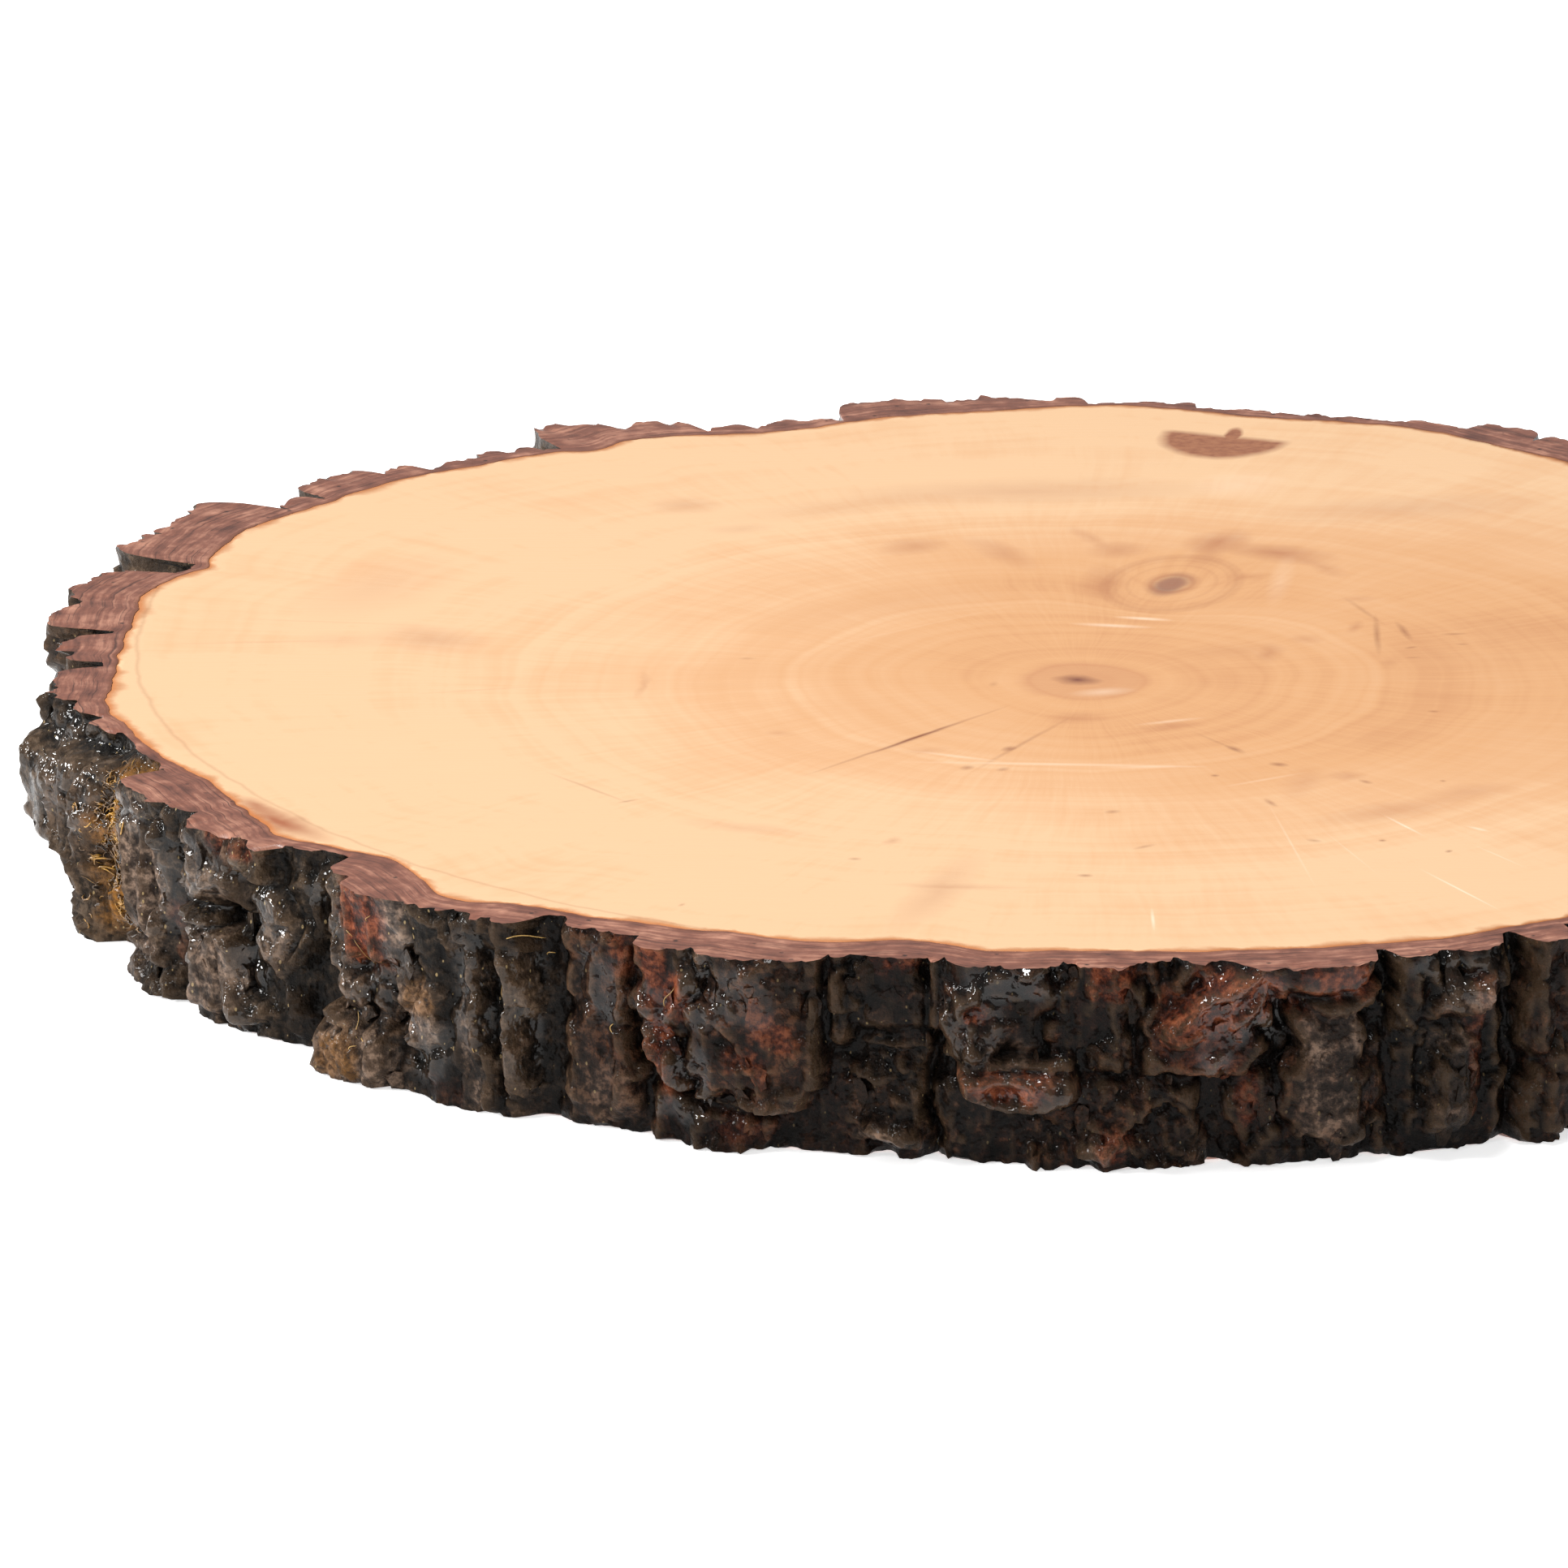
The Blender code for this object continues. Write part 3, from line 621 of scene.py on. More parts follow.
# Coloured places: angle, height, half width in degrees, half height, strength
RED_PLACES = (
    (227.7, 24.4, 2.2, 6.6, 1), (216.5, 28.6, 1.7, 1.8, 0.7), (246.4, 26, 0.8, 5, 0.65),
    (247.9, 23, 0.7, 3.2, 0.75), (246.9, 13.5, 0.9, 5.6, 1), (251.8, 15, 1.2, 2, 0.4),
    (254.2, 18.5, 0.8, 2, 0.45), (253, 20, 0.8, 2, 0.35), (264.3, 23.2, 0.6, 1.6, 0.85),
    (265.8, 13.4, 2.4, 1.6, 0.7), (266.3, 12, 1.2, 1.3, 1), (271.4, 27.8, 1.2, 2.4, 0.75),
    (271.6, 3.8, 0.9, 2.2, 0.75), (277.6, 26, 1.6, 3.4, 0.7), (276.2, 23, 2.2, 3.6, 0.75),
    (276.4, 17.5, 2.4, 3.6, 0.3), (280.2, 26, 1.6, 3.6, 0.5), (283.3, 27.6, 2.2, 2.2, 0.6),
    (279, 10, 0.6, 4, 0.35), (291.6, 17, 0.5, 9, 0.3), (259.6, 29, 1.4, 1, 0.5), (244.4, 27, 0.7, 3, 0.55),
    (233, 2.5, 1.2, 2.2, 0.25), (209.5, 10, 0.5, 5, 0.3), (251.5, 4, 1.8, 2.6, 0.2), (303, 22, 1.6, 6, 0.7),
    (318.5, 12, 2.2, 5, 0.6), (334, 24, 1.8, 5, 0.8), (352, 10, 1.5, 6, 0.6), (12, 20, 2, 6, 0.7),
    (31, 9, 1.6, 4.5, 0.55), (49, 22, 1.6, 5, 0.65), (76, 16, 1.8, 7, 0.6), (96, 20, 2.4, 5, 0.6),
    (121, 14, 1.5, 6, 0.6), (146, 20, 1.8, 6, 0.7), (166, 12, 1.6, 5, 0.5),
)
PALE_PLACES = (
    (205.8, 14, 2.6, 9.5, 1), (204.8, 27, 2.2, 2.4, 0.6), (213.8, 8, 2.8, 6.2, 0.8),
    (213.6, 23.5, 2.3, 5, 0.6), (204.8, 2.4, 1.4, 2, 0.7), (219, 16, 1.2, 5, 0.5),
    (230.3, 24.6, 1.2, 5.4, 1), (227.2, 4, 2.6, 4.2, 0.75), (231.6, 13.6, 1.6, 4.6, 0.85),
    (226.8, 12.5, 2, 3, 0.35), (235, 18, 0.6, 10, 0.4), (235.6, 3, 0.9, 2.6, 0.4), (244, 6, 1.6, 5, 0.2),
    (224.9, 22, 1.2, 5, 0.3), (259, 4.2, 1.3, 1.4, 0.7), (271, 4.2, 0.7, 2, 0.6), (283.2, 19, 1.6, 4, 0.6),
    (283.2, 9, 1.6, 5, 0.4), (290.8, 23.2, 1.3, 2, 0.8), (290.2, 13, 1.3, 6, 0.3), (266, 18, 1, 2.5, 0.3),
    (308, 10, 2, 6, 0.6), (325.5, 20, 1.8, 7, 0.5), (342, 8, 2.2, 5, 0.6), (3, 24, 2, 5, 0.5),
    (24, 14, 2.4, 7, 0.6), (40, 20, 1.8, 5, 0.5), (63, 10, 2, 6, 0.5), (88, 18, 2.2, 6, 0.6),
    (110, 12, 2.4, 6, 0.5), (134, 18, 2, 6, 0.5), (157, 10, 2.2, 6, 0.6), (177, 18, 2, 7, 0.5),
)
GOLD_PLACES = (
    (200.8, 17, 2.6, 11.5, 1), (199, 8, 1.5, 6, 0.5), (226, 4, 1.4, 3.4, 0.4), (232, 15.5, 1, 2.4, 0.35),
    (345.5, 12, 1, 7, 0.6), (70, 10, 0.9, 6, 0.6),
)

# Places where the lacquer stands thick and wet
WET_PLACES = (
    (266.2, 27.4, 2.4, 2.4, 1), (278.3, 24, 2.4, 4.8, 1), (289.8, 28, 2.2, 1.4, 0.9),
    (249.2, 24.5, 0.9, 6, 0.9), (248.7, 12, 1.2, 4, 0.9), (267, 12.6, 2.6, 2.6, 0.8),
    (231.8, 8, 1.6, 4.4, 1), (222.2, 25.4, 1, 2.2, 1), (212.2, 19, 1.8, 8, 0.9), (195, 23, 7, 6, 0.9),
    (218.6, 18, 1.4, 5.5, 0.8), (216.8, 8, 0.9, 6.5, 0.9), (208.8, 18, 1.1, 8, 0.8),
    (264, 21, 1.6, 4.5, 0.7), (227.4, 14.5, 1.7, 3.4, 0.8), (246.6, 20, 1.2, 3.5, 0.8),
    (247.4, 5.5, 1.6, 1.6, 0.9), (277, 16.6, 0.8, 2, 1), (189, 10, 3, 8, 0.6), (216, 25.4, 0.8, 1.6, 1),
    (235.2, 19, 1, 8, 0.8), (237.8, 16, 0.8, 9, 0.7), (243, 22, 1.2, 5, 0.8), (251.5, 24, 1.8, 4, 0.7),
    (230.6, 24, 1, 5, 0.7), (213.6, 24, 1.4, 4, 0.8), (205, 26, 1.8, 2.5, 0.9), (283.5, 27, 1.8, 2, 0.6),
    (212, 8, 1, 6, 0.8), (224.6, 22, 1, 6, 0.7), (290.8, 24, 1.4, 2.4, 0.7), (308, 22, 3, 6, 0.8),
    (334, 12, 3, 7, 0.7), (2, 20, 4, 6, 0.8), (36, 14, 3, 8, 0.7), (74, 22, 4, 5, 0.8),
    (103, 12, 3, 8, 0.7), (140, 20, 4, 7, 0.8), (170, 16, 4, 8, 0.7),
)


def painted(places, angle, height, seed):
    """The strongest of the places over each point, with edges moved by noise of 2.5 mm grain."""
    shift_a = 0.32 * fractal(angle, height, 2.6, 4.0, seed, 3)
    shift_h = 1.1 * fractal(angle, height, 3.0, 4.0, seed + 7, 3)
    total = np.zeros(np.shape(angle))
    for at, level, wide, high, strength in places:
        inside = bell(angle + shift_a, height + shift_h, at, level, wide * 1.12, high * 1.12)
        total = np.maximum(total, strength * step(0.08, 0.92, inside))
    return total


def over_all_rows(side_values, cut_value=0.0):
    """Side values with rows of one number for the sawn faces above and below them."""
    before = np.full((FIRST_SIDE, COLUMNS), cut_value)
    after = np.full((len(ring_radius) - LAST_SIDE - 1, COLUMNS), cut_value)
    return np.concatenate([before, side_values, after])


# How far a point lies under the mean of its neighbours, within 2 mm and within 8 mm
hollow = 0.6 * (blurred(side_radius, 4) - side_radius) + 0.4 * (blurred(side_radius, 14) - side_radius)
# A random tone for each plate, made darker right of the middle and darker still towards the right end, as
# painted shade on the side away from the lamps at the left
plate_tone_and_shade = np.random.default_rng(5).uniform(0, 1, len(PLATES) + 1)[side_number]
plate_tone_and_shade -= 0.35 * step(244, 250, side_angle) * step(304, 296, side_angle)
plate_tone_and_shade -= 0.55 * step(283, 287, side_angle) * step(304, 296, side_angle)
# Olive and grey at the left turn to warm browns at the right, and back again round the far side; the warm
# browns are also painted darker, as shade
warmth = step(222.0, 250.0, side_angle) * step(415.0, 330.0, side_angle)
warmth = np.clip(warmth + 0.5 * fractal(side_angle, side_height, 30, 30, 141), 0, 1)
# hollow, proud and crest feed the finish's painted shade in the furrows and its painted highlight on the
# crests
kept = {
    "hollow": np.clip(hollow / 1.5, -1, 1),
    "proud": np.clip(side_proud / 8, 0, 1),
    "tone": blurred(plate_tone_and_shade, 1),
    "warm": warmth,
    "crest": np.clip((side_radius - blurred(side_radius, 2) - 0.08) / 0.4, 0, 1),
}
# The coloured places, each with the seed that roughens its edges
PAINTED = {
    "red": (RED_PLACES, 101), "pale": (PALE_PLACES, 111),
    "gold": (GOLD_PLACES, 121), "wet": (WET_PLACES, 151),
}
for name, (places, seed) in PAINTED.items():
    kept[name] = painted(places, side_angle, side_height, seed)
for name, values in kept.items():
    note(bark_mesh, name, over_all_rows(values))
note(bark_mesh, "from_wood", ring_radius - fine_edge)
print("numbers kept on the bark:", [a.name for a in bark_mesh.attributes if a.data_type == "FLOAT"])

# %% [markdown]
# The sawn wood
#
# The face is a flat disc, sanded and varnished. Its rings, pith and knot are only colour, so the
# disc needs few points: rings of them from the middle to the wood's edge. Each keeps its depth from
# the edge, which the finish uses to bend the outer growth rings to the wood's own outline.

# %% The sawn disc
face_share = np.array([0.0, 0.2, 0.4, 0.6, 0.75, 0.86, 0.93, 0.97, 0.992])[:, None]
edge_line = fine_edge[None, :]
EASED = 0.12
disc_radius = np.concatenate([face_share * edge_line, edge_line - EASED, edge_line, edge_line,
                              edge_line - EASED, face_share[::-1] * edge_line])
rows_down = len(face_share)
heights = [THICKNESS] * (rows_down + 1) + [THICKNESS - EASED, EASED] + [0.0] * (rows_down + 1)
disc_height = np.repeat(np.array(heights)[:, None], COLUMNS, axis=1)
disc_mesh = stacked("sawn_wood", disc_radius, disc_height, closed=False)
note(disc_mesh, "rim", edge_line - disc_radius)

# A fine brown line inside the bark: angle and its radius, which lies beyond the edge where none shows
LINE_PLACES = (
    (0, 160), (156, 160), (164, 143.5), (168, 142), (175, 140), (182, 138.5), (190, 137.5), (200, 136.5),
    (208, 136), (215, 136), (225, 137), (235, 138.5), (245, 139.5), (252, 141), (256, 143), (264, 160),
    (360, 160),
)
line_angles, line_radii = np.array(LINE_PLACES, float).T
note(disc_mesh, "from_line", disc_radius - np.interp(columns, line_angles, line_radii))

drum = bmesh.new()
drum.from_mesh(disc_mesh)
bmesh.ops.remove_doubles(drum, verts=drum.verts, dist=0.000001)
drum.to_mesh(disc_mesh)
drum.free()
disc_mesh.update()
print("wood:", sum(len(p.vertices) - 2 for p in disc_mesh.polygons), "triangles")

# %% [markdown]
# Finishes from nodes
#
# Every finish is a small network of nodes. One function adds a node with its settings and links, so
# a network reads as a list of steps. Colours are written as the six hex digits that a colour picker
# shows, and turned into the linear numbers that the light is worked out with.

# %% Helpers for the finishes


def linear(hex_code):
    """The linear values of an sRGB colour written as six hex digits."""
    parts = [int(hex_code[i:i + 2], 16) / 255 for i in (0, 2, 4)]
    return tuple(c / 12.92 if c <= 0.04045 else ((c + 0.055) / 1.055) ** 2.4 for c in parts) + (1.0,)


def put(tree, kind, inputs=None, out=0, **settings):
    """Adds one node with its settings. Each input takes a number, a colour or another node's output."""
    made = tree.nodes.new("ShaderNode" + kind)
    for name, value in settings.items():
        setattr(made, name, value)
    for socket, value in (inputs or {}).items():
        if isinstance(value, bpy.types.NodeSocket):
            tree.links.new(value, made.inputs[socket])
        else:
            made.inputs[socket].default_value = value
    return made.outputs[out]


def finish_named(name):
    """A new finish: its node tree and its surface shader."""
    material = bpy.data.materials.new(name)
    material.use_nodes = True
    return material, material.node_tree, material.node_tree.nodes["Principled BSDF"]


def ramp(tree, factor, stops):
    """A colour ramp from (place, hex colour) stops."""
    colour = put(tree, "ValToRGB", {0: factor})
    elements = colour.node.color_ramp.elements
    while len(elements) < len(stops):
        elements.new(0.5)
    for element, (place, hex_code) in zip(elements, stops):
        element.position = place
        element.color = linear(hex_code)
    return colour


print("peach of the varnished face, linear:", [round(c, 3) for c in linear("F4CFA0")[:3]])

# %% [markdown]
# Lacquered bark
#
# The bark is olive and brown on the plates, and the lacquer over it gives small wet glints. The colour is
# laid in layers: the plate's own tone, darker to the right as painted shade, then pale rubbed places, broken
# red ones, wear and a painted highlight on the crests, golden moss, painted shade near black in the furrows
# and hollows, and last fine specks. The lacquer is a clear coat with a bump of its own, smoother than the
# bark under it, which keeps its glints small and sharp. It lies thick only in the wet places of the table.

# %% The finish of the bark's side
lacquered, tree, shader = finish_named("lacquered_bark")
place = put(tree, "TexCoord", out=3)
# Scales are counts in a metre: the mottle is 6 mm, the ripple 2.3 mm, grit and specks 1.1 mm
grain = put(tree, "TexNoise", {"Vector": place, "Scale": 160.0, "Detail": 6.0, "Roughness": 0.6})
ripple = put(tree, "TexNoise", {"Vector": place, "Scale": 430.0, "Detail": 2.0, "Roughness": 0.5})
grit = put(tree, "TexNoise", {"Vector": place, "Scale": 900.0, "Detail": 4.0, "Roughness": 0.65})
upright = put(tree, "Mapping", {"Vector": place, "Scale": (1.0, 1.0, 0.16)})
fibre = put(tree, "TexNoise", {"Vector": upright, "Scale": 700.0, "Detail": 5.0, "Roughness": 0.6})
at_point = {name: put(tree, "Attribute", attribute_name=name, out=2) for name in kept}

mottled = put(tree, "Math", {0: grain, 1: 0.8, 2: -1.12}, operation="MULTIPLY_ADD")
mottled = put(tree, "Math", {0: ripple, 1: 0.95, 2: mottled}, operation="MULTIPLY_ADD")
mottled = put(tree, "Math", {0: grit, 1: 1.5, 2: mottled}, operation="MULTIPLY_ADD")
mixed_tone = put(tree, "Math", {0: at_point["tone"], 1: 0.25, 2: mottled}, operation="MULTIPLY_ADD")
mixed_tone = put(tree, "Math", {0: fibre, 1: 0.6, 2: mixed_tone}, operation="MULTIPLY_ADD")
mixed_tone = put(tree, "Math", {0: mixed_tone, 1: 0.28}, operation="SUBTRACT")
cool_base = ramp(tree, mixed_tone, [(0.34, "080605"), (0.54, "16120E"), (0.74, "29211A"), (0.96, "4C3F33")])
# The warm ramp is darker than the cool one: warm browns with painted shade for the side away from the lamps
warm_base_with_painted_shade = ramp(tree, mixed_tone, [(0.34, "060403"), (0.54, "120906"), (0.74, "1F110B"), (0.96, "3F2619")])
base = put(tree, "Mix", {0: at_point["warm"], 6: cool_base, 7: warm_base_with_painted_shade}, out=2, data_type="RGBA")

pale_mask = put(tree, "Math", {0: grain, 1: 2.4, 2: -0.62}, operation="MULTIPLY_ADD", use_clamp=True)
pale_mask = put(tree, "Math", {0: at_point["pale"], 1: pale_mask}, operation="MULTIPLY", use_clamp=True)
pale_colour = ramp(tree, mottled, [(0.36, "2A1F19"), (0.56, "54453B"), (0.78, "8E7665")])

red_mask = put(tree, "Math", {0: grain, 1: 1.6, 2: 0.05}, operation="MULTIPLY_ADD", use_clamp=True)
red_mask = put(tree, "Math", {0: at_point["red"], 1: red_mask}, operation="MULTIPLY", use_clamp=True)
red_grain = put(tree, "Mix", {0: 0.35, 2: mottled, 3: fibre}, data_type="FLOAT")
red_colour = ramp(tree, red_grain, [(0.36, "220D07"), (0.5, "4C2012"), (0.68, "80432A")])

# Proud places and crests are painted lighter: partly wear, partly a painted highlight where light catches the
# ridges
crest_wear_and_highlight = put(tree, "Math", {0: at_point["hollow"], 1: -0.03, 2: 0.0}, operation="MULTIPLY_ADD", use_clamp=True)
crest_wear_and_highlight = put(tree, "Math", {0: at_point["crest"], 1: 0.18, 2: crest_wear_and_highlight}, operation="MULTIPLY_ADD", use_clamp=True)

gold_mask = put(tree, "Math", {0: grit, 1: 3.0, 2: -1.0}, operation="MULTIPLY_ADD", use_clamp=True)
gold_mask = put(tree, "Math", {0: at_point["gold"], 1: gold_mask}, operation="MULTIPLY", use_clamp=True)

# Painted shade: near black in the hollows and on the floor of the furrows, where the bark lies in shade, and
# less under the moss
painted_furrow_shade = put(tree, "Math", {0: at_point["hollow"], 1: 0.85, 2: -0.05}, operation="MULTIPLY_ADD", use_clamp=True)
painted_shade_on_furrow_floor = {0: at_point["proud"], 1: 0.0, 2: 0.25, 3: 0.85, 4: 0.0}
painted_shade_on_furrow_floor = put(tree, "MapRange", painted_shade_on_furrow_floor, interpolation_type="SMOOTHSTEP")
painted_furrow_shade = put(tree, "Math", {0: painted_furrow_shade, 1: painted_shade_on_furrow_floor}, operation="MAXIMUM")
gold_free = put(tree, "Math", {0: at_point["gold"], 1: -0.8, 2: 0.85}, operation="MULTIPLY_ADD")
painted_furrow_shade = put(tree, "Math", {0: painted_furrow_shade, 1: gold_free}, operation="MULTIPLY")

fleck_at = put(tree, "Mapping", {"Vector": place, "Scale": (1.0, 1.0, 0.6)})
specks = put(tree, "TexVoronoi", {"Vector": fleck_at, "Scale": 900.0, "Randomness": 1.0})
speck_size = put(tree, "SeparateColor", {0: specks.node.outputs[1]})
speck_size = put(tree, "MapRange", {0: speck_size, 1: 0.35, 2: 1.0, 3: 0.0, 4: 0.2})
specks = put(tree, "Math", {0: speck_size, 1: specks}, operation="SUBTRACT")
specks = put(tree, "MapRange", {0: specks, 1: 0.0, 2: 0.05, 3: 0.0, 4: 0.8})
cool_share = put(tree, "Math", {0: at_point["warm"], 1: -0.8, 2: 1.0}, operation="MULTIPLY_ADD")
specks = put(tree, "Math", {0: specks, 1: cool_share}, operation="MULTIPLY")

layers = (
    (pale_mask, pale_colour), (red_mask, red_colour), (crest_wear_and_highlight, linear("6C543E")), (gold_mask, linear("8A5A1C")),
    (painted_furrow_shade, linear("050403")), (specks, linear("9A845E")),
)
for share, colour in layers:
    base = put(tree, "Mix", {0: share, 6: base, 7: colour}, out=2, data_type="RGBA")
tree.links.new(base, shader.inputs["Base Color"])

wetness = put(tree, "MapRange", {0: grain, 1: 0.38, 2: 0.62, 3: 0.3, 4: 0.48})
tree.links.new(wetness, shader.inputs["Roughness"])
shader.inputs["Specular IOR Level"].default_value = 0.04
coat = put(tree, "Math", {0: at_point["wet"], 1: 0.54, 2: 0.09}, operation="MULTIPLY_ADD")
tree.links.new(coat, shader.inputs["Coat Weight"])
shader.inputs["Coat IOR"].default_value = 1.45
shader.inputs["Coat Roughness"].default_value = 0.07
coarse = put(tree, "Bump", {"Strength": 0.35, "Distance": 0.0012, "Height": grain})
drawn = put(tree, "Bump", {"Strength": 0.45, "Distance": 0.0006, "Height": fibre, "Normal": coarse})
ripple_depth = put(tree, "Math", {0: at_point["wet"], 1: 0.3, 2: 0.4}, operation="MULTIPLY_ADD")
rippled = put(tree, "Bump", {"Strength": ripple_depth, "Distance": 0.0014, "Height": ripple, "Normal": drawn})
gritty = put(tree, "Bump", {"Strength": 0.7, "Distance": 0.0008, "Height": grit, "Normal": rippled})
tree.links.new(gritty, shader.inputs["Normal"])
skin = put(tree, "Bump", {"Strength": 0.7, "Distance": 0.0011, "Height": ripple})
tree.links.new(skin, shader.inputs["Coat Normal"])
print("lacquered bark:", len(tree.nodes), "nodes")

# %% [markdown]
# Bark cut across
#
# Where the saw went through the bark it is smooth and purple-brown, with streaks that follow the
# edge, small pits, and a darker line beside the wood. Streaks come from noise read at a point made
# of the distance from the wood, squeezed, and the place, stretched.

# %% The finish of the sawn bark
sawn_bark, tree, shader = finish_named("sawn_bark")
place = put(tree, "TexCoord", out=3)
from_wood = put(tree, "Attribute", attribute_name="from_wood", out=2)
spot = put(tree, "SeparateXYZ", {0: place})
spot_y = put(tree, "SeparateXYZ", {0: place}, out=1)
along_x = put(tree, "Math", {0: spot, 1: 90.0}, operation="MULTIPLY")
along_y = put(tree, "Math", {0: spot_y, 1: 90.0}, operation="MULTIPLY")
layered = put(tree, "CombineXYZ", {0: from_wood, 1: along_x, 2: along_y})
streak = put(tree, "TexNoise", {"Vector": layered, "Scale": 1.0, "Detail": 5.0, "Roughness": 0.6})
mottle = put(tree, "TexNoise", {"Vector": place, "Scale": 220.0, "Detail": 5.0, "Roughness": 0.6})
tone = put(tree, "Mix", {0: 0.5, 2: mottle, 3: streak}, data_type="FLOAT")
base = ramp(tree, tone, [(0.32, "4B2A21"), (0.5, "7C4D3D"), (0.68, "B6826B")])
pits = put(tree, "TexVoronoi", {"Vector": place, "Scale": 420.0, "Randomness": 1.0})
pits = put(tree, "MapRange", {0: pits, 1: 0.2, 2: 0.08, 3: 0.0, 4: 0.9})
pit_here = put(tree, "TexNoise", {"Vector": place, "Scale": 300.0, "Detail": 1.0})
pit_here = put(tree, "MapRange", {0: pit_here, 1: 0.52, 2: 0.62})
pits = put(tree, "Math", {0: pits, 1: pit_here}, operation="MULTIPLY")
squeezed = put(tree, "Mapping", {"Vector": layered, "Scale": (2.6, 0.5, 0.5)})
seam = put(tree, "TexNoise", {"Vector": squeezed, "Scale": 1.0, "Detail": 3.0, "Roughness": 0.55})
seam = put(tree, "MapRange", {0: seam, 1: 0.57, 2: 0.68, 3: 0.0, 4: 0.7})
line = put(tree, "MapRange", {0: from_wood, 1: 0.0, 2: 0.9, 3: 0.75, 4: 0.0})
for share, colour in ((pits, "1C0F0C"), (seam, "2E1712"), (line, "6A3A22")):
    base = put(tree, "Mix", {0: share, 6: base, 7: linear(colour)}, out=2, data_type="RGBA")
tree.links.new(base, shader.inputs["Base Color"])
shader.inputs["Roughness"].default_value = 0.42
shader.inputs["Specular IOR Level"].default_value = 0.4
shader.inputs["Coat Weight"].default_value = 0.25
shader.inputs["Coat Roughness"].default_value = 0.25
pitted = put(tree, "Math", {0: pits, 1: -1.0, 2: streak}, operation="MULTIPLY_ADD")
pitted = put(tree, "Bump", {"Strength": 0.35, "Distance": 0.0005, "Height": pitted})
tree.links.new(pitted, shader.inputs["Normal"])
print("sawn bark:", len(tree.nodes), "nodes")

# %% [markdown]
# Varnished wood
#
# Growth rings are circles round the pith, which sits a little off the middle. They bend round the knot, and
# near the bark they follow its outline. So the finish first works out an age for every place: the distance
# from the pith, raised by a bell over the knot, and blended near the edge into the distance from the bark.
# Rings are then bands of that age. Stains, checks, scratches and a few painted glints are soft ellipses from
# a table, each laid by one mapping and one round gradient.

# %% Places on the wood
PITH = (5.6, -12.4)
KNOT = (21.0, 40.0)
KNOT_LEAN = 74.0
# So long a half size that a mark runs straight through the slice
DEEP = 100000.0

# Soft dark places: x, y, half length, half width, turn in degrees, strength
SMUDGES = (
    (13, 59, 6, 5, 20, 0.55), (29.5, 64, 8, 5.5, 60, 0.8), (27, 56, 9, 3, 75, 0.45),
    (38.5, 57, 10, 5.5, -25, 0.85), (45, 49, 7, 2.5, -60, 0.4), (-19, 61, 7, 5, 40, 0.5),
    (-5, 57, 12, 4, -65, 0.45), (10.5, 40, 11, 4.5, 85, 0.6), (33, 44, 4, 3, 10, 0.4),
    (8.5, 66, 8, 2, -70, 0.4), (-55, 84.5, 7, 6, 0, 0.35), (-46, 71, 6, 4, 20, 0.22),
    (0, 93, 34, 9, 4, 0.35), (-30, 84, 22, 6, 22, 0.18), (60, 83, 26, 9, 12, 0.3),
    (-103, 38, 22, 12, 65, 0.22), (-93, 10, 11, 8, -40, 0.4), (-106, 9, 8, 6, 0, 0.2),
    (28, 3, 10, 6, 10, 0.25), (34.5, 2, 6, 2.6, 85, 0.5), (40.5, 9.5, 3.5, 2.5, 0, 0.35),
    (48, 16, 4, 1.4, 70, 0.5), (52.5, -3, 4, 2, 80, 0.3), (49.5, 31.5, 4, 2, 10, 0.3),
    (4, -31.5, 5, 3.5, 0, 0.45), (-18.5, -47.5, 4, 2, 20, 0.3), (36, -63, 9, 3.5, 75, 0.3),
    (48, -77, 14, 5, 25, 0.4), (60, -68, 9, 4, 25, 0.35), (17.8, -35.5, 6.5, 2.2, 18, 0.5),
    (42.5, -60.5, 3.5, 2.5, 0, 0.45), (-18, -115, 22, 4.5, 72, 0.35), (-14.5, -112, 11, 1.5, -3, 0.3),
    (-40, -39.5, 2.5, 2, 0, 0.3), (-24, -91.5, 2.4, 1.6, 60, 0.45), (-60.5, -14, 8, 1, 85, 0.35),
    (-111.5, -82, 13, 3.8, -54, 1.5), (-116, -73.5, 6, 2.4, -50, 0.8), (-20, 30, 30, 10, 30, 0.1),
    (60, 0, 30, 16, 90, 0.12), (-45, -85, 12, 3, -20, 0.25),
)

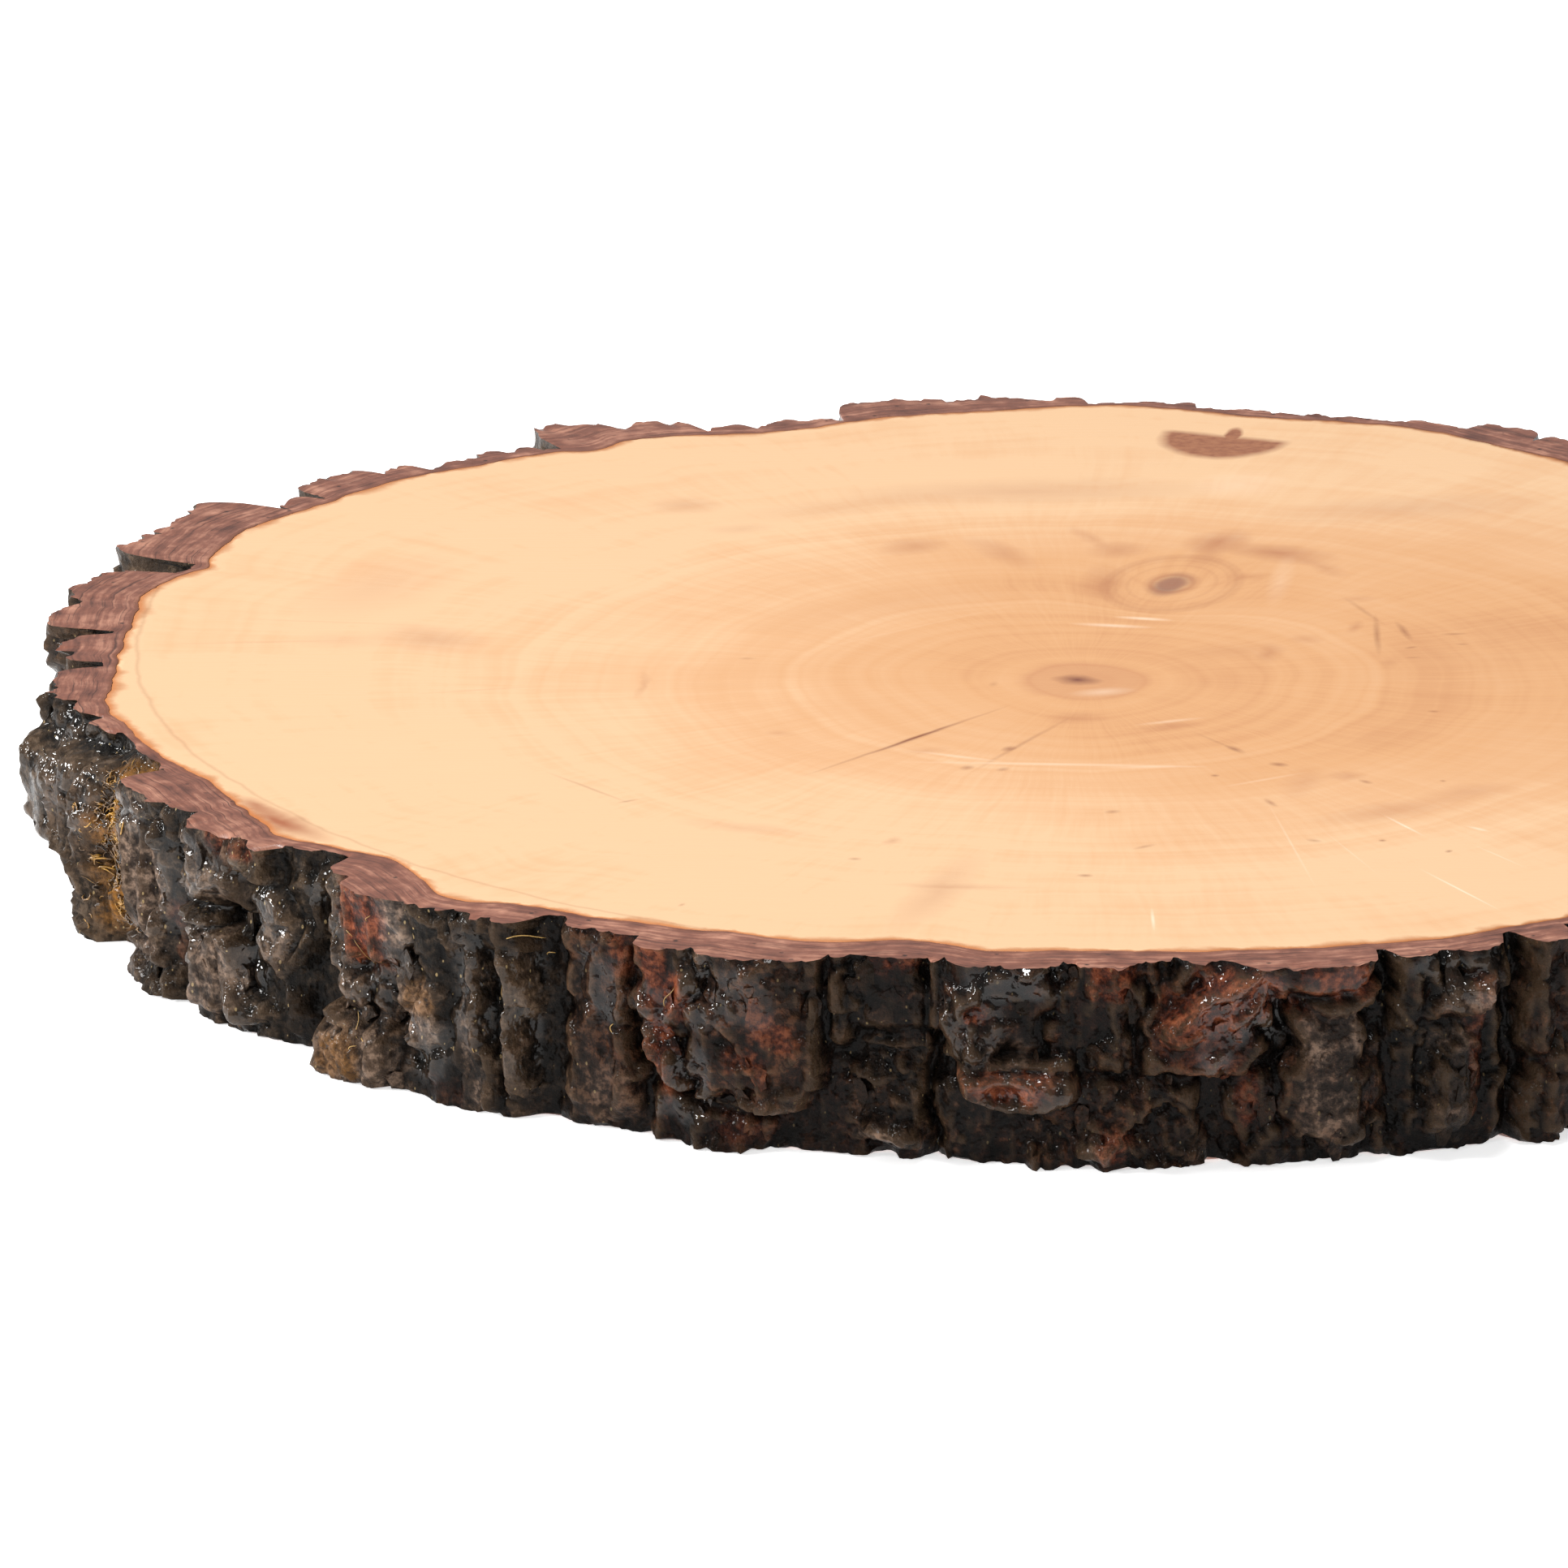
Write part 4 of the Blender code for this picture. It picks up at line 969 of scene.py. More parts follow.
# Thin dark lines and ticks, in the same order
CHECKS = (
    (-21, -42.5, 26, 0.55, 49, 0.9), (-19.5, -41, 11, 0.8, 49, 0.8), (-4, -44, 18, 0.6, 61, 0.55),
    (-6.3, -46.8, 1.8, 1.1, 61, 1), (-12.6, -56.2, 1.6, 1.1, 61, 0.8), (-7.3, -57, 1.4, 1, 50, 0.7),
    (27, -47, 2.6, 0.9, -55, 0.9), (33, -54.5, 1.8, 1.2, -20, 1), (24.5, -43.5, 8, 0.5, -58, 0.4),
    (45.3, -63, 1.5, 0.8, -45, 0.8), (23.5, -60, 0.8, 0.8, 0, 1), (8, -77.5, 1.4, 1, 20, 0.7),
    (12, -94, 2.2, 0.7, 35, 0.6), (3.2, -107.2, 1.3, 0.9, 0, 0.9), (36.3, -91, 1.4, 0.8, -30, 0.6),
    (31, -73, 2.4, 0.7, -70, 0.8), (46, -91, 0.7, 0.7, 0, 1), (55.2, -96, 0.9, 0.6, 60, 1),
    (56.5, -62.6, 0.6, 0.6, 0, 0.8), (-29.2, -99.6, 1.2, 0.8, 0, 0.7), (-67.5, -66, 11, 0.5, -51, 0.5),
    (-61.8, -72.3, 2, 0.5, 30, 0.6), (-7.8, -14, 1.6, 0.8, 80, 0.4), (51.3, 12, 12, 0.7, 88, 0.75),
    (55.5, 14, 6, 0.8, -80, 0.8), (63, 12.5, 2.4, 0.8, 5, 0.6), (56, 5.2, 1.4, 0.6, 30, 0.7),
    (64, 7, 1.2, 0.6, 0, 0.6), (56, 0, 1.6, 0.5, 10, 0.5), (50, 25, 9, 0.7, -70, 0.45),
    (-109, 19, 20, 0.5, -7, 0.15), (57.4, -28, 1, 0.8, 0, 0.7), (-44.8, -0.6, 1.6, 0.8, 0, 0.4),
    (-53.5, -120.5, 1, 0.5, 60, 0.6), (-120, 8, 18, 0.7, 4, 0.2), (-85, -17, 12, 0.5, 12, 0.2),
)

# Pale scratches in the varnish and bright grain, and a few painted glints of light on the varnish
SCRATCHES_AND_GLINTS = (
    (49.5, -84, 6, 0.35, -62, 1), (55.5, -113.5, 11.5, 0.3, -62, 1), (33, -93, 22, 0.25, -83, 0.4),
    (12, -127, 5.5, 0.35, 90, 1), (60, -85.5, 2.2, 0.6, -40, 0.8), (62, -98, 7, 0.25, -58, 0.5),
    (41, -96, 13, 0.2, -72, 0.35), (-20, 15.5, 26, 0.5, 38, 0.12), (16, 20.8, 5, 1, -12, 1),
    (11, 17, 7, 1.2, -10, 0.8), (8.5, -18, 5.5, 2.4, 15, 0.5), (18, -33, 6, 0.9, 20, 0.5),
    (0, -54.4, 24, 0.9, -3, 0.55), (14, -55.8, 9, 0.9, 2, 0.4), (-14, -50.5, 8, 0.8, -22, 0.5),
    (38, 42, 16, 2.2, 82, 0.25), (34, 97, 10, 8, 60, 0.35), (30.5, -62, 8, 0.6, 30, 0.35),
)

# Rings that stand out: distance from the pith and a grey that is darker where the ring is
AGE_SPAN = 150.0
MEAN_SHADE = 0.216
KNOWN_RINGS = (
    (0, "707070"), (8, "7A7A7A"), (9.3, "5E5E5E"), (10.5, "808080"), (26, "828282"), (27.4, "707070"),
    (29, "828282"), (36.5, "808080"), (38, "6E6E6E"), (39.5, "828282"), (43.2, "808080"), (44.4, "9C9C9C"),
    (46, "7A7A7A"), (49, "848484"), (55, "767676"), (58, "868686"), (65.5, "808080"), (67.2, "6C6C6C"),
    (68.5, "868686"), (86, "808080"), (88, "747474"), (90, "8A8A8A"), (97, "808080"), (99, "747474"),
    (101, "848484"), (118, "808080"), (150, "808080"),
)
print(len(SMUDGES) + len(CHECKS) + len(SCRATCHES_AND_GLINTS), "marks on the face")


def laid(tree, where, marks):
    """The sum of soft ellipses: each is one mapping to the unit circle and one round gradient."""
    total = 0.0
    for x, y, long_half, wide_half, turn, strength in marks:
        lying = {"Vector": where, "Location": (x, y, 0.0), "Rotation": (0, 0, np.radians(turn)),
                 "Scale": (long_half, wide_half, DEEP)}
        unit = put(tree, "Mapping", lying, vector_type="TEXTURE")
        soft = put(tree, "TexGradient", {"Vector": unit}, out=1, gradient_type="SPHERICAL")
        total = put(tree, "Math", {0: soft, 1: strength, 2: total}, operation="MULTIPLY_ADD")
    return total


# %% The age of the wood at each place
varnished, tree, shader = finish_named("varnished_wood")
place = put(tree, "TexCoord", out=3)
in_mm = put(tree, "VectorMath", {0: place, 3: 1 / MM}, operation="SCALE")
# Scales from here on are counts in a millimetre: the slow sway is 48 mm long and the quick one 6 mm
slow = put(tree, "TexNoise", {"Vector": in_mm, "Scale": 0.021, "Detail": 3.0}, out=1)
slow = put(tree, "VectorMath", {0: slow, 1: (0.5, 0.5, 0.5)}, operation="SUBTRACT")
slow = put(tree, "VectorMath", {0: slow, 1: (11.0, 11.0, 0.0)}, operation="MULTIPLY")
wandered = put(tree, "VectorMath", {0: in_mm, 1: slow}, operation="ADD")
quick = put(tree, "TexNoise", {"Vector": in_mm, "Scale": 0.16, "Detail": 3.0}, out=1)
quick = put(tree, "VectorMath", {0: quick, 1: (0.5, 0.5, 0.5)}, operation="SUBTRACT")
quick = put(tree, "VectorMath", {0: quick, 1: (3.4, 3.4, 0.0)}, operation="MULTIPLY")
stained_at = put(tree, "VectorMath", {0: in_mm, 1: quick}, operation="ADD")

from_pith = put(tree, "VectorMath", {0: wandered, 1: (PITH[0], PITH[1], 0.0)}, operation="SUBTRACT")
from_pith = put(tree, "VectorMath", {0: from_pith, 1: (1.0, 1.0, 0.0)}, operation="MULTIPLY")
distance = put(tree, "VectorMath", {0: from_pith}, out=1, operation="LENGTH")
knot_frame = put(tree, "Mapping", {"Vector": in_mm, "Location": (KNOT[0], KNOT[1], 0.0),
                                   "Rotation": (0, 0, np.radians(KNOT_LEAN)), "Scale": (17.0, 11.0, DEEP)},
                 vector_type="TEXTURE")
knot_reach = put(tree, "VectorMath", {0: knot_frame}, out=1, operation="LENGTH")
knot_square = put(tree, "Math", {0: knot_reach, 1: 2.0}, operation="POWER")
knot_bell = put(tree, "Math", {0: knot_square, 1: -1.0}, operation="MULTIPLY")
knot_bell = put(tree, "Math", {0: knot_bell}, operation="EXPONENT")
age = put(tree, "Math", {0: knot_bell, 1: 16.0, 2: distance}, operation="MULTIPLY_ADD")
rim = put(tree, "Attribute", attribute_name="rim", out=2)
outer_age = put(tree, "Math", {0: 134.0, 1: rim}, operation="SUBTRACT")
near_edge = put(tree, "MapRange", {0: rim, 1: 62.0, 2: 8.0}, interpolation_type="SMOOTHSTEP")
age = put(tree, "Mix", {0: near_edge, 2: age, 3: outer_age}, data_type="FLOAT")
print("age of the wood:", len(tree.nodes), "nodes")

# %% Rings, rays and the two woods
yearly = {"W": age, "Scale": 0.42, "Detail": 2.0, "Roughness": 0.55}
yearly = put(tree, "TexNoise", yearly, noise_dimensions="1D")
calm = put(tree, "Math", {0: knot_bell, 1: -0.85, 2: 1.0}, operation="MULTIPLY_ADD")
yearly = put(tree, "Mix", {0: calm, 2: 0.5, 3: yearly}, data_type="FLOAT")
zones = {"W": age, "Scale": 0.085, "Detail": 2.0, "Roughness": 0.5}
zones = put(tree, "TexNoise", zones, noise_dimensions="1D")
age_share = put(tree, "Math", {0: age, 1: 1 / AGE_SPAN}, operation="MULTIPLY")
known = ramp(tree, age_share, [(at / AGE_SPAN, shade) for at, shade in KNOWN_RINGS])
warp_way = put(tree, "VectorMath", {0: from_pith}, operation="NORMALIZE")
warp_way = put(tree, "VectorMath", {0: warp_way, 3: 60.0}, operation="SCALE")
ray_depth = put(tree, "Math", {0: age, 1: 0.05}, operation="MULTIPLY")
ray_lift = put(tree, "CombineXYZ", {2: ray_depth})
ray_at = put(tree, "VectorMath", {0: warp_way, 1: ray_lift}, operation="ADD")
rays = put(tree, "TexNoise", {"Vector": ray_at, "Scale": 1.0, "Detail": 3.0, "Roughness": 0.6})

heart_frame = {"Vector": wandered, "Location": (42.0, 0.0, 0.0), "Scale": (135.0, 108.0, DEEP)}
heart_zone = put(tree, "Mapping", heart_frame, vector_type="TEXTURE")
heart_zone = put(tree, "VectorMath", {0: heart_zone}, out=1, operation="LENGTH")
dark = {0: heart_zone, 1: 1.02, 2: 0.3, 3: 0.0, 4: 0.62}
dark = put(tree, "MapRange", dark, interpolation_type="SMOOTHSTEP")
for band, strength in ((yearly, 0.24), (zones, 0.32), (rays, 0.35)):
    swing = put(tree, "Math", {0: band, 1: 0.5}, operation="SUBTRACT")
    dark = put(tree, "Math", {0: swing, 1: strength, 2: dark}, operation="MULTIPLY_ADD")
known_value = put(tree, "SeparateColor", {0: known})
known_swing = put(tree, "Math", {0: MEAN_SHADE, 1: known_value}, operation="SUBTRACT")
dark = put(tree, "Math", {0: known_swing, 1: 1.5, 2: dark}, operation="MULTIPLY_ADD")
cloud = put(tree, "TexNoise", {"Vector": in_mm, "Scale": 0.03, "Detail": 4.0, "Roughness": 0.55})
cloud = put(tree, "Math", {0: cloud, 1: 0.5}, operation="SUBTRACT")
dark = put(tree, "Math", {0: cloud, 1: 0.7, 2: dark}, operation="MULTIPLY_ADD", use_clamp=True)
wood_colour = ramp(tree, dark, [
    (0.0, "CFAB86"), (0.3, "C99D75"), (0.6, "C49469"), (0.85, "B9865E"), (1.0, "A6714D")])
print("rings and rays:", len(tree.nodes), "nodes")

# %% Stains, checks, pith, knot and edge
smudged = laid(tree, stained_at, SMUDGES)
smudged = put(tree, "Math", {0: smudged, 1: 0.75}, operation="MULTIPLY", use_clamp=True)
checked = laid(tree, put(tree, "Mix", {0: 0.18, 4: in_mm, 5: stained_at}, out=1, data_type="VECTOR"), CHECKS)
checked = put(tree, "Math", {0: checked, 1: 0.6}, operation="MULTIPLY", use_clamp=True)

pith_disc = laid(tree, stained_at, ((PITH[0], PITH[1], 12.0, 12.0, 0, 1.0),))
pith_disc = put(tree, "MapRange", {0: pith_disc, 1: 0.12, 2: 0.3, 3: 0.0, 4: 0.3})
pith_dot = laid(tree, stained_at, ((PITH[0] - 0.8, PITH[1] + 0.6, 4.2, 3.2, -20, 1.6),))
pith_dot = put(tree, "Math", {0: pith_dot, 1: 0.6}, operation="MULTIPLY", use_clamp=True)

eye = laid(tree, put(tree, "Mix", {0: 0.4, 4: in_mm, 5: stained_at}, out=1, data_type="VECTOR"),
           ((KNOT[0] - 0.3, KNOT[1] - 0.6, 8.6, 3.8, KNOT_LEAN - 4, 2.0),))
eye = put(tree, "MapRange", {0: eye, 1: 0.1, 2: 1.4, 3: 0.0, 4: 0.72}, interpolation_type="SMOOTHSTEP")
knot_ring = {0: knot_reach, 1: 1.45, 2: 0.6, 3: 0.0, 4: 1.0}
knot_ring = put(tree, "MapRange", knot_ring, interpolation_type="SMOOTHSTEP")
knot_bands = put(tree, "TexNoise", {"W": knot_reach, "Scale": 5.0, "Detail": 1.0}, noise_dimensions="1D")
knot_bands = put(tree, "MapRange", {0: knot_bands, 1: 0.45, 2: 0.68, 3: 0.0, 4: 0.42})
knot_ring = put(tree, "Math", {0: knot_ring, 1: knot_bands}, operation="MULTIPLY")

# Scratches, bright grain and a few painted glints, laid pale
scratches_and_painted_glints = laid(tree, in_mm, SCRATCHES_AND_GLINTS)
scratches_and_painted_glints = put(tree, "Math", {0: scratches_and_painted_glints, 1: 0.5}, operation="MULTIPLY", use_clamp=True)

edge_noise = put(tree, "TexNoise", {"Vector": in_mm, "Scale": 0.11, "Detail": 4.0, "Roughness": 0.6})
edge_depth = put(tree, "Math", {0: edge_noise, 1: 9.0, 2: -2.6}, operation="MULTIPLY_ADD")
edge_depth = put(tree, "Math", {0: edge_depth, 1: 0.5}, operation="MAXIMUM")
edge_glow = put(tree, "Math", {0: rim, 1: edge_depth}, operation="DIVIDE")
edge_glow = {0: edge_glow, 1: 1.0, 2: 0.0, 3: 0.0, 4: 0.85}
edge_glow = put(tree, "MapRange", edge_glow, interpolation_type="SMOOTHSTEP")

stains = (
    (smudged, "985E42"), (checked, "703E2F"), (pith_disc, "AA7658"), (pith_dot, "693D35"), (eye, "735650"),
    (knot_ring, "8F5840"), (scratches_and_painted_glints, "EBDDC9"), (edge_glow, "A05A26"),
)
for share, colour in stains:
    wood_colour = put(tree, "Mix", {0: share, 6: wood_colour, 7: linear(colour)}, out=2, data_type="RGBA")
print("marks on the wood:", len(tree.nodes), "nodes")

# %% The flush pocket of bark and the fine line inside the edge
pocket_at = put(tree, "Mix", {0: 0.35, 4: in_mm, 5: stained_at}, out=1, data_type="VECTOR")
pocket_frame = put(tree, "Mapping", {"Vector": pocket_at, "Location": (33.2, 126.0, 0.0),
                                     "Rotation": (0, 0, np.radians(-20.0)), "Scale": (10.6, 13.5, DEEP)},
                   vector_type="TEXTURE")
pocket_bowl = put(tree, "VectorMath", {0: pocket_frame}, out=1, operation="LENGTH")
pocket_bowl = put(tree, "MapRange", {0: pocket_bowl, 1: 1.08, 2: 0.86})
pocket_lid = put(tree, "SeparateXYZ", {0: pocket_frame}, out=1)
pocket_lid = put(tree, "MapRange", {0: pocket_lid, 1: 0.12, 2: -0.06})
pocket = put(tree, "Math", {0: pocket_bowl, 1: pocket_lid}, operation="MULTIPLY")
pocket_nub = laid(tree, pocket_at, ((34.2, 127.0, 5.5, 1.8, 78, 2.5),))
pocket = put(tree, "Math", {0: pocket, 1: pocket_nub}, operation="MAXIMUM", use_clamp=True)
pocket_grain = put(tree, "TexNoise", {"Vector": in_mm, "Scale": 0.6, "Detail": 4.0})
pocket_colour = ramp(tree, pocket_grain, [(0.35, "845540"), (0.6, "94644A")])

line_gap = put(tree, "Attribute", attribute_name="from_line", out=2)
line_sway = put(tree, "TexNoise", {"Vector": in_mm, "Scale": 0.12, "Detail": 3.0})
line_gap = put(tree, "Math", {0: line_sway, 1: 2.0, 2: line_gap}, operation="MULTIPLY_ADD")
line_gap = put(tree, "Math", {0: line_gap, 1: 1.0}, operation="SUBTRACT")
line_gap = put(tree, "Math", {0: line_gap}, operation="ABSOLUTE")
ring_line = put(tree, "MapRange", {0: line_gap, 1: 0.55, 2: 0.05, 3: 0.0, 4: 0.22})
for share, colour in ((pocket, pocket_colour), (ring_line, linear("7A4F31"))):
    wood_colour = put(tree, "Mix", {0: share, 6: wood_colour, 7: colour}, out=2, data_type="RGBA")
tree.links.new(wood_colour, shader.inputs["Base Color"])

sanded = {"Vector": in_mm, "Rotation": (0, 0, np.radians(8.0)), "Scale": (0.05, 1.6, 1.0)}
sanded = put(tree, "Mapping", sanded)
sanding = put(tree, "TexNoise", {"Vector": sanded, "Scale": 1.0, "Detail": 4.0})
gloss = put(tree, "MapRange", {0: sanding, 1: 0.3, 2: 0.7, 3: 0.42, 4: 0.55})
tree.links.new(gloss, shader.inputs["Roughness"])
shader.inputs["Specular IOR Level"].default_value = 0.15
shader.inputs["Coat Weight"].default_value = 0.05
shader.inputs["Coat Roughness"].default_value = 0.3
uneven = put(tree, "Math", {0: checked, 1: -1.0, 2: sanding}, operation="MULTIPLY_ADD")
uneven = put(tree, "Bump", {"Strength": 0.12, "Distance": 0.0003, "Height": uneven})
tree.links.new(uneven, shader.inputs["Normal"])
print("varnished wood:", len(tree.nodes), "nodes")

# %% Both pieces in their finishes
bark_mesh.materials.append(lacquered)
bark_mesh.materials.append(sawn_bark)
furrowed_bark = piece("furrowed_bark", bark_mesh)
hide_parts("bark")
disc_mesh.materials.append(varnished)
sawn_wood = piece("sawn_wood", disc_mesh)
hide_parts("wood")
print("pieces so far:", furrowed_bark.name, sawn_wood.name)

# %% [markdown]
# Loose flakes
#
# Old bark sheds: thin chips stand off the plates with one edge lifted, and it is these edges that
# catch the light. They overhang, so the height over the ring can't hold them. Each is a small shell
# of its own, a ragged disc with a thickness, laid on the smoothed bark and tipped outwards.

# %% Shells laid on the bark
smoothed_side = blurred(side_radius, 3)


def on_bark(grid, angle, height):
    """A grid's value at any angle and height, straight between its points."""
    u = (angle % 360) / 360 * COLUMNS
    v = np.clip((THICKNESS - height) / THICKNESS, 0, 1) * SIDE_ROWS
    i, j = np.floor(u).astype(int), np.minimum(np.floor(v).astype(int), SIDE_ROWS - 1)
    f, g = u - i, v - j
    i, i_next = i % COLUMNS, (i + 1) % COLUMNS
    upper = grid[j, i] * (1 - f) + grid[j, i_next] * f
    lower = grid[j + 1, i] * (1 - f) + grid[j + 1, i_next] * f
    return upper * (1 - g) + lower * g


def ring_faces(number):
    """Squares between neighbouring rings of several tubes, for points numbered by tube, ring and spoke."""
    first, after = number[:, :-1], number[:, 1:]
    corners = [first, after, np.roll(after, -1, axis=2), np.roll(first, -1, axis=2)]
    return np.stack(corners, axis=-1).reshape(-1, 4).tolist()


def shells(name, angle, height, wide, tall, lift, draw, spokes=9):
    """Ragged discs: point = centre + share x (wide cos t, tall sin t) x outline, raised by a tipped plane.

    Rings run from the middle of the outer face to its rim, over the edge, and back to the middle of
    the inner face, so each disc is a closed shell. The outline is 1 plus a random third per spoke.
    """
    count = len(angle)
    share = np.array([0.0, 0.55, 1.0, 1.0, 0.55, 0.0])[None, :, None]
    inward = np.array([0.0, 0.0, 0.15, 0.45, 0.6, 0.6])[None, :, None]
    turn = np.linspace(0, 2 * np.pi, spokes, endpoint=False)[None, None, :]
    outline = 1 + draw.uniform(-0.33, 0.33, (count, 1, spokes))
    lean = draw.uniform(0, 2 * np.pi, (count, 1, 1))
    across = share * outline * np.cos(turn) * wide[:, None, None]
    up = share * outline * np.sin(turn) * tall[:, None, None]
    tipped = share * np.cos(turn - lean) * lift[:, None, None]
    point_angle = angle[:, None, None] + np.degrees(across / BARK_RADIUS)
    point_height = np.clip(height[:, None, None] + up, 0.3, THICKNESS - 0.25)
    base = on_bark(smoothed_side, point_angle, point_height)
    middle = on_bark(smoothed_side, angle, height)[:, None, None]
    base = np.clip(base, middle - 1.0, middle + 1.0)
    radius = base + 0.25 + tipped - inward
    number = np.arange(count * 6 * spokes).reshape(count, 6, spokes)
    mesh = bpy.data.meshes.new(name)
    mesh.from_pydata(np.zeros((number.size, 3)).tolist(), [], ring_faces(number))
    put_points(mesh, radius, point_angle, point_height)
    return mesh, (count, 6, spokes)


def tidied(mesh):
    """Merges the points that meet, and turns every face outwards."""
    work = bmesh.new()
    work.from_mesh(mesh)
    bmesh.ops.remove_doubles(work, verts=work.verts, dist=0.0000005)
    bmesh.ops.recalc_face_normals(work, faces=work.faces)
    work.to_mesh(mesh)
    work.free()
    mesh.update()


flake_draw = np.random.default_rng(404)
FLAKE_TRIES = 560
flake_angle = flake_draw.uniform(0, 360, FLAKE_TRIES)
flake_height = flake_draw.uniform(1.0, 29.0, FLAKE_TRIES)
standing = on_bark(side_proud, flake_angle, flake_height) > 2.2
flake_angle, flake_height = flake_angle[standing], flake_height[standing]
flake_wide = flake_draw.uniform(0.4, 1.5, len(flake_angle))
flake_tall = flake_wide * flake_draw.uniform(0.8, 2.4, len(flake_angle))
flake_lift = flake_draw.uniform(0.1, 0.5, len(flake_angle))
flake_mesh, flake_grid = shells(
    "bark_flakes", flake_angle, flake_height, flake_wide, flake_tall, flake_lift, flake_draw)
# hollow, crest and proud set each flake's painted shade and painted crest highlight in the finish
flake_kept = {
    "hollow": flake_draw.uniform(-0.2, 0.1, len(flake_angle)),
    "crest": flake_draw.uniform(0, 0.35, len(flake_angle)),
    "proud": np.full(len(flake_angle), 0.8),
    "warm": on_bark(warmth, flake_angle, flake_height),
    "tone": on_bark(kept["tone"], flake_angle, flake_height),
}
for name, (places, seed) in PAINTED.items():
    flake_kept[name] = painted(places, flake_angle, flake_height, seed)
for name, values in flake_kept.items():
    note(flake_mesh, name, values[:, None, None] * np.ones((1, *flake_grid[1:])))
tidied(flake_mesh)
flake_mesh.materials.append(lacquered)
bark_flakes = piece("bark_flakes", flake_mesh)
flake_triangles = sum(len(p.vertices) - 2 for p in flake_mesh.polygons)
print("flakes:", len(flake_angle), "shells,", flake_triangles, "triangles")

# %% [markdown]
# Moss and stray fibres
#
# In the furrow at the left a golden moss has been lacquered over, and fine straw-like hairs stick to
# the bark. Each is a thin tube carried along a curling path. A particle system would do it with one
# click, but it follows no formula and is lost in most exports, so the tubes are worked out as arrays.

# %% Tubes along curling paths


def strands(name, angle, height, length, heading, curl, clearance, thick, steps=9, sides=5):
    """Tubes along paths that turn by curl from their heading and lie clearance over the bark.

    Each cross-section is P + r (cos a N + sin a B), with N radial, B across, and r falling to 0 at
    both ends.
    """
    along = np.linspace(0, 1, steps)[None, :]
    way = heading[:, None] + curl[:, None] * along + 0.5 * np.sin(5 * along + heading[:, None])
    stride = length[:, None] / steps
    right = np.cumsum(np.cos(way) * stride, axis=1)
    up = np.cumsum(np.sin(way) * stride, axis=1)
    path_angle = angle[:, None] + np.degrees(right / BARK_RADIUS)
    path_height = np.clip(height[:, None] + up, 0.4, THICKNESS - 0.6)
    arch = clearance[:, None] * (0.3 + np.sin(np.pi * along))
    path_radius = on_bark(smoothed_side, path_angle, path_height) + arch
    turn = np.radians(path_angle)
    outwards = np.stack([np.cos(turn), np.sin(turn), 0 * turn], axis=-1)
    path = outwards * path_radius[..., None] + np.stack([0 * turn, 0 * turn, path_height], axis=-1)
    ahead = np.gradient(path, axis=1)
    across = np.cross(ahead, outwards)
    across /= np.maximum(np.linalg.norm(across, axis=-1, keepdims=True), 1e-6)
    round_it = np.linspace(0, 2 * np.pi, sides, endpoint=False)
    swell = thick[:, None] * np.sqrt(np.clip(1 - (2 * along - 1) ** 6, 0, 1))
    ring = np.cos(round_it)[:, None] * outwards[:, :, None, :]
    ring = ring + np.sin(round_it)[:, None] * across[:, :, None, :]
    points = path[:, :, None, :] + swell[:, :, None, None] * ring
    points[..., 0] -= CENTRE[0]
    points[..., 1] -= CENTRE[1]
    number = np.arange(points.shape[0] * steps * sides).reshape(-1, steps, sides)
    mesh = bpy.data.meshes.new(name)
    mesh.from_pydata((points.reshape(-1, 3) * MM).tolist(), [], ring_faces(number))
    tidied(mesh)
    mesh.shade_smooth()
    return mesh


moss_draw = np.random.default_rng(77)
MOSS_COUNT = 1300
FURROW = 200.6
moss_mesh = strands(
    "golden_moss", moss_draw.normal(FURROW, 1.5, MOSS_COUNT), moss_draw.triangular(2, 20, 28, MOSS_COUNT),
    moss_draw.uniform(1.2, 4.0, MOSS_COUNT), moss_draw.uniform(0, 2 * np.pi, MOSS_COUNT),
    moss_draw.uniform(-4.5, 4.5, MOSS_COUNT), moss_draw.uniform(0.05, 0.6, MOSS_COUNT),
    moss_draw.uniform(0.06, 0.16, MOSS_COUNT), steps=6, sides=4)
hair_draw = np.random.default_rng(88)
HAIR_COUNT = 60
HAIRS_IN_VIEW = 16
hair_angle = np.concatenate([
    hair_draw.normal(232, 8, HAIRS_IN_VIEW), hair_draw.uniform(300, 560, HAIR_COUNT - HAIRS_IN_VIEW)])
hair_mesh = strands(
    "straw_hairs", hair_angle, hair_draw.uniform(3, 27, HAIR_COUNT),
    hair_draw.uniform(1.5, 5.5, HAIR_COUNT), hair_draw.uniform(0, 2 * np.pi, HAIR_COUNT),
    hair_draw.uniform(-1.2, 1.2, HAIR_COUNT), hair_draw.uniform(0.3, 0.7, HAIR_COUNT),
    hair_draw.uniform(0.05, 0.09, HAIR_COUNT))
print("moss and hairs:", len(moss_mesh.polygons) + len(hair_mesh.polygons), "faces")

# %% Finishes of moss and hairs
moss_paint, tree, shader = finish_named("golden_moss_under_lacquer")
place = put(tree, "TexCoord", out=3)
clump = put(tree, "TexNoise", {"Vector": place, "Scale": 420.0, "Detail": 3.0})
clump = ramp(tree, clump, [(0.35, "261805"), (0.5, "64420D"), (0.66, "B08024")])
tree.links.new(clump, shader.inputs["Base Color"])
shader.inputs["Roughness"].default_value = 0.4
shader.inputs["Coat Weight"].default_value = 0.5
shader.inputs["Coat Roughness"].default_value = 0.15
straw_paint, tree, shader = finish_named("dry_straw")
place = put(tree, "TexCoord", out=3)
clump = put(tree, "TexNoise", {"Vector": place, "Scale": 60.0, "Detail": 2.0})
clump = ramp(tree, clump, [(0.35, "6E5020"), (0.65, "C09A58")])
tree.links.new(clump, shader.inputs["Base Color"])
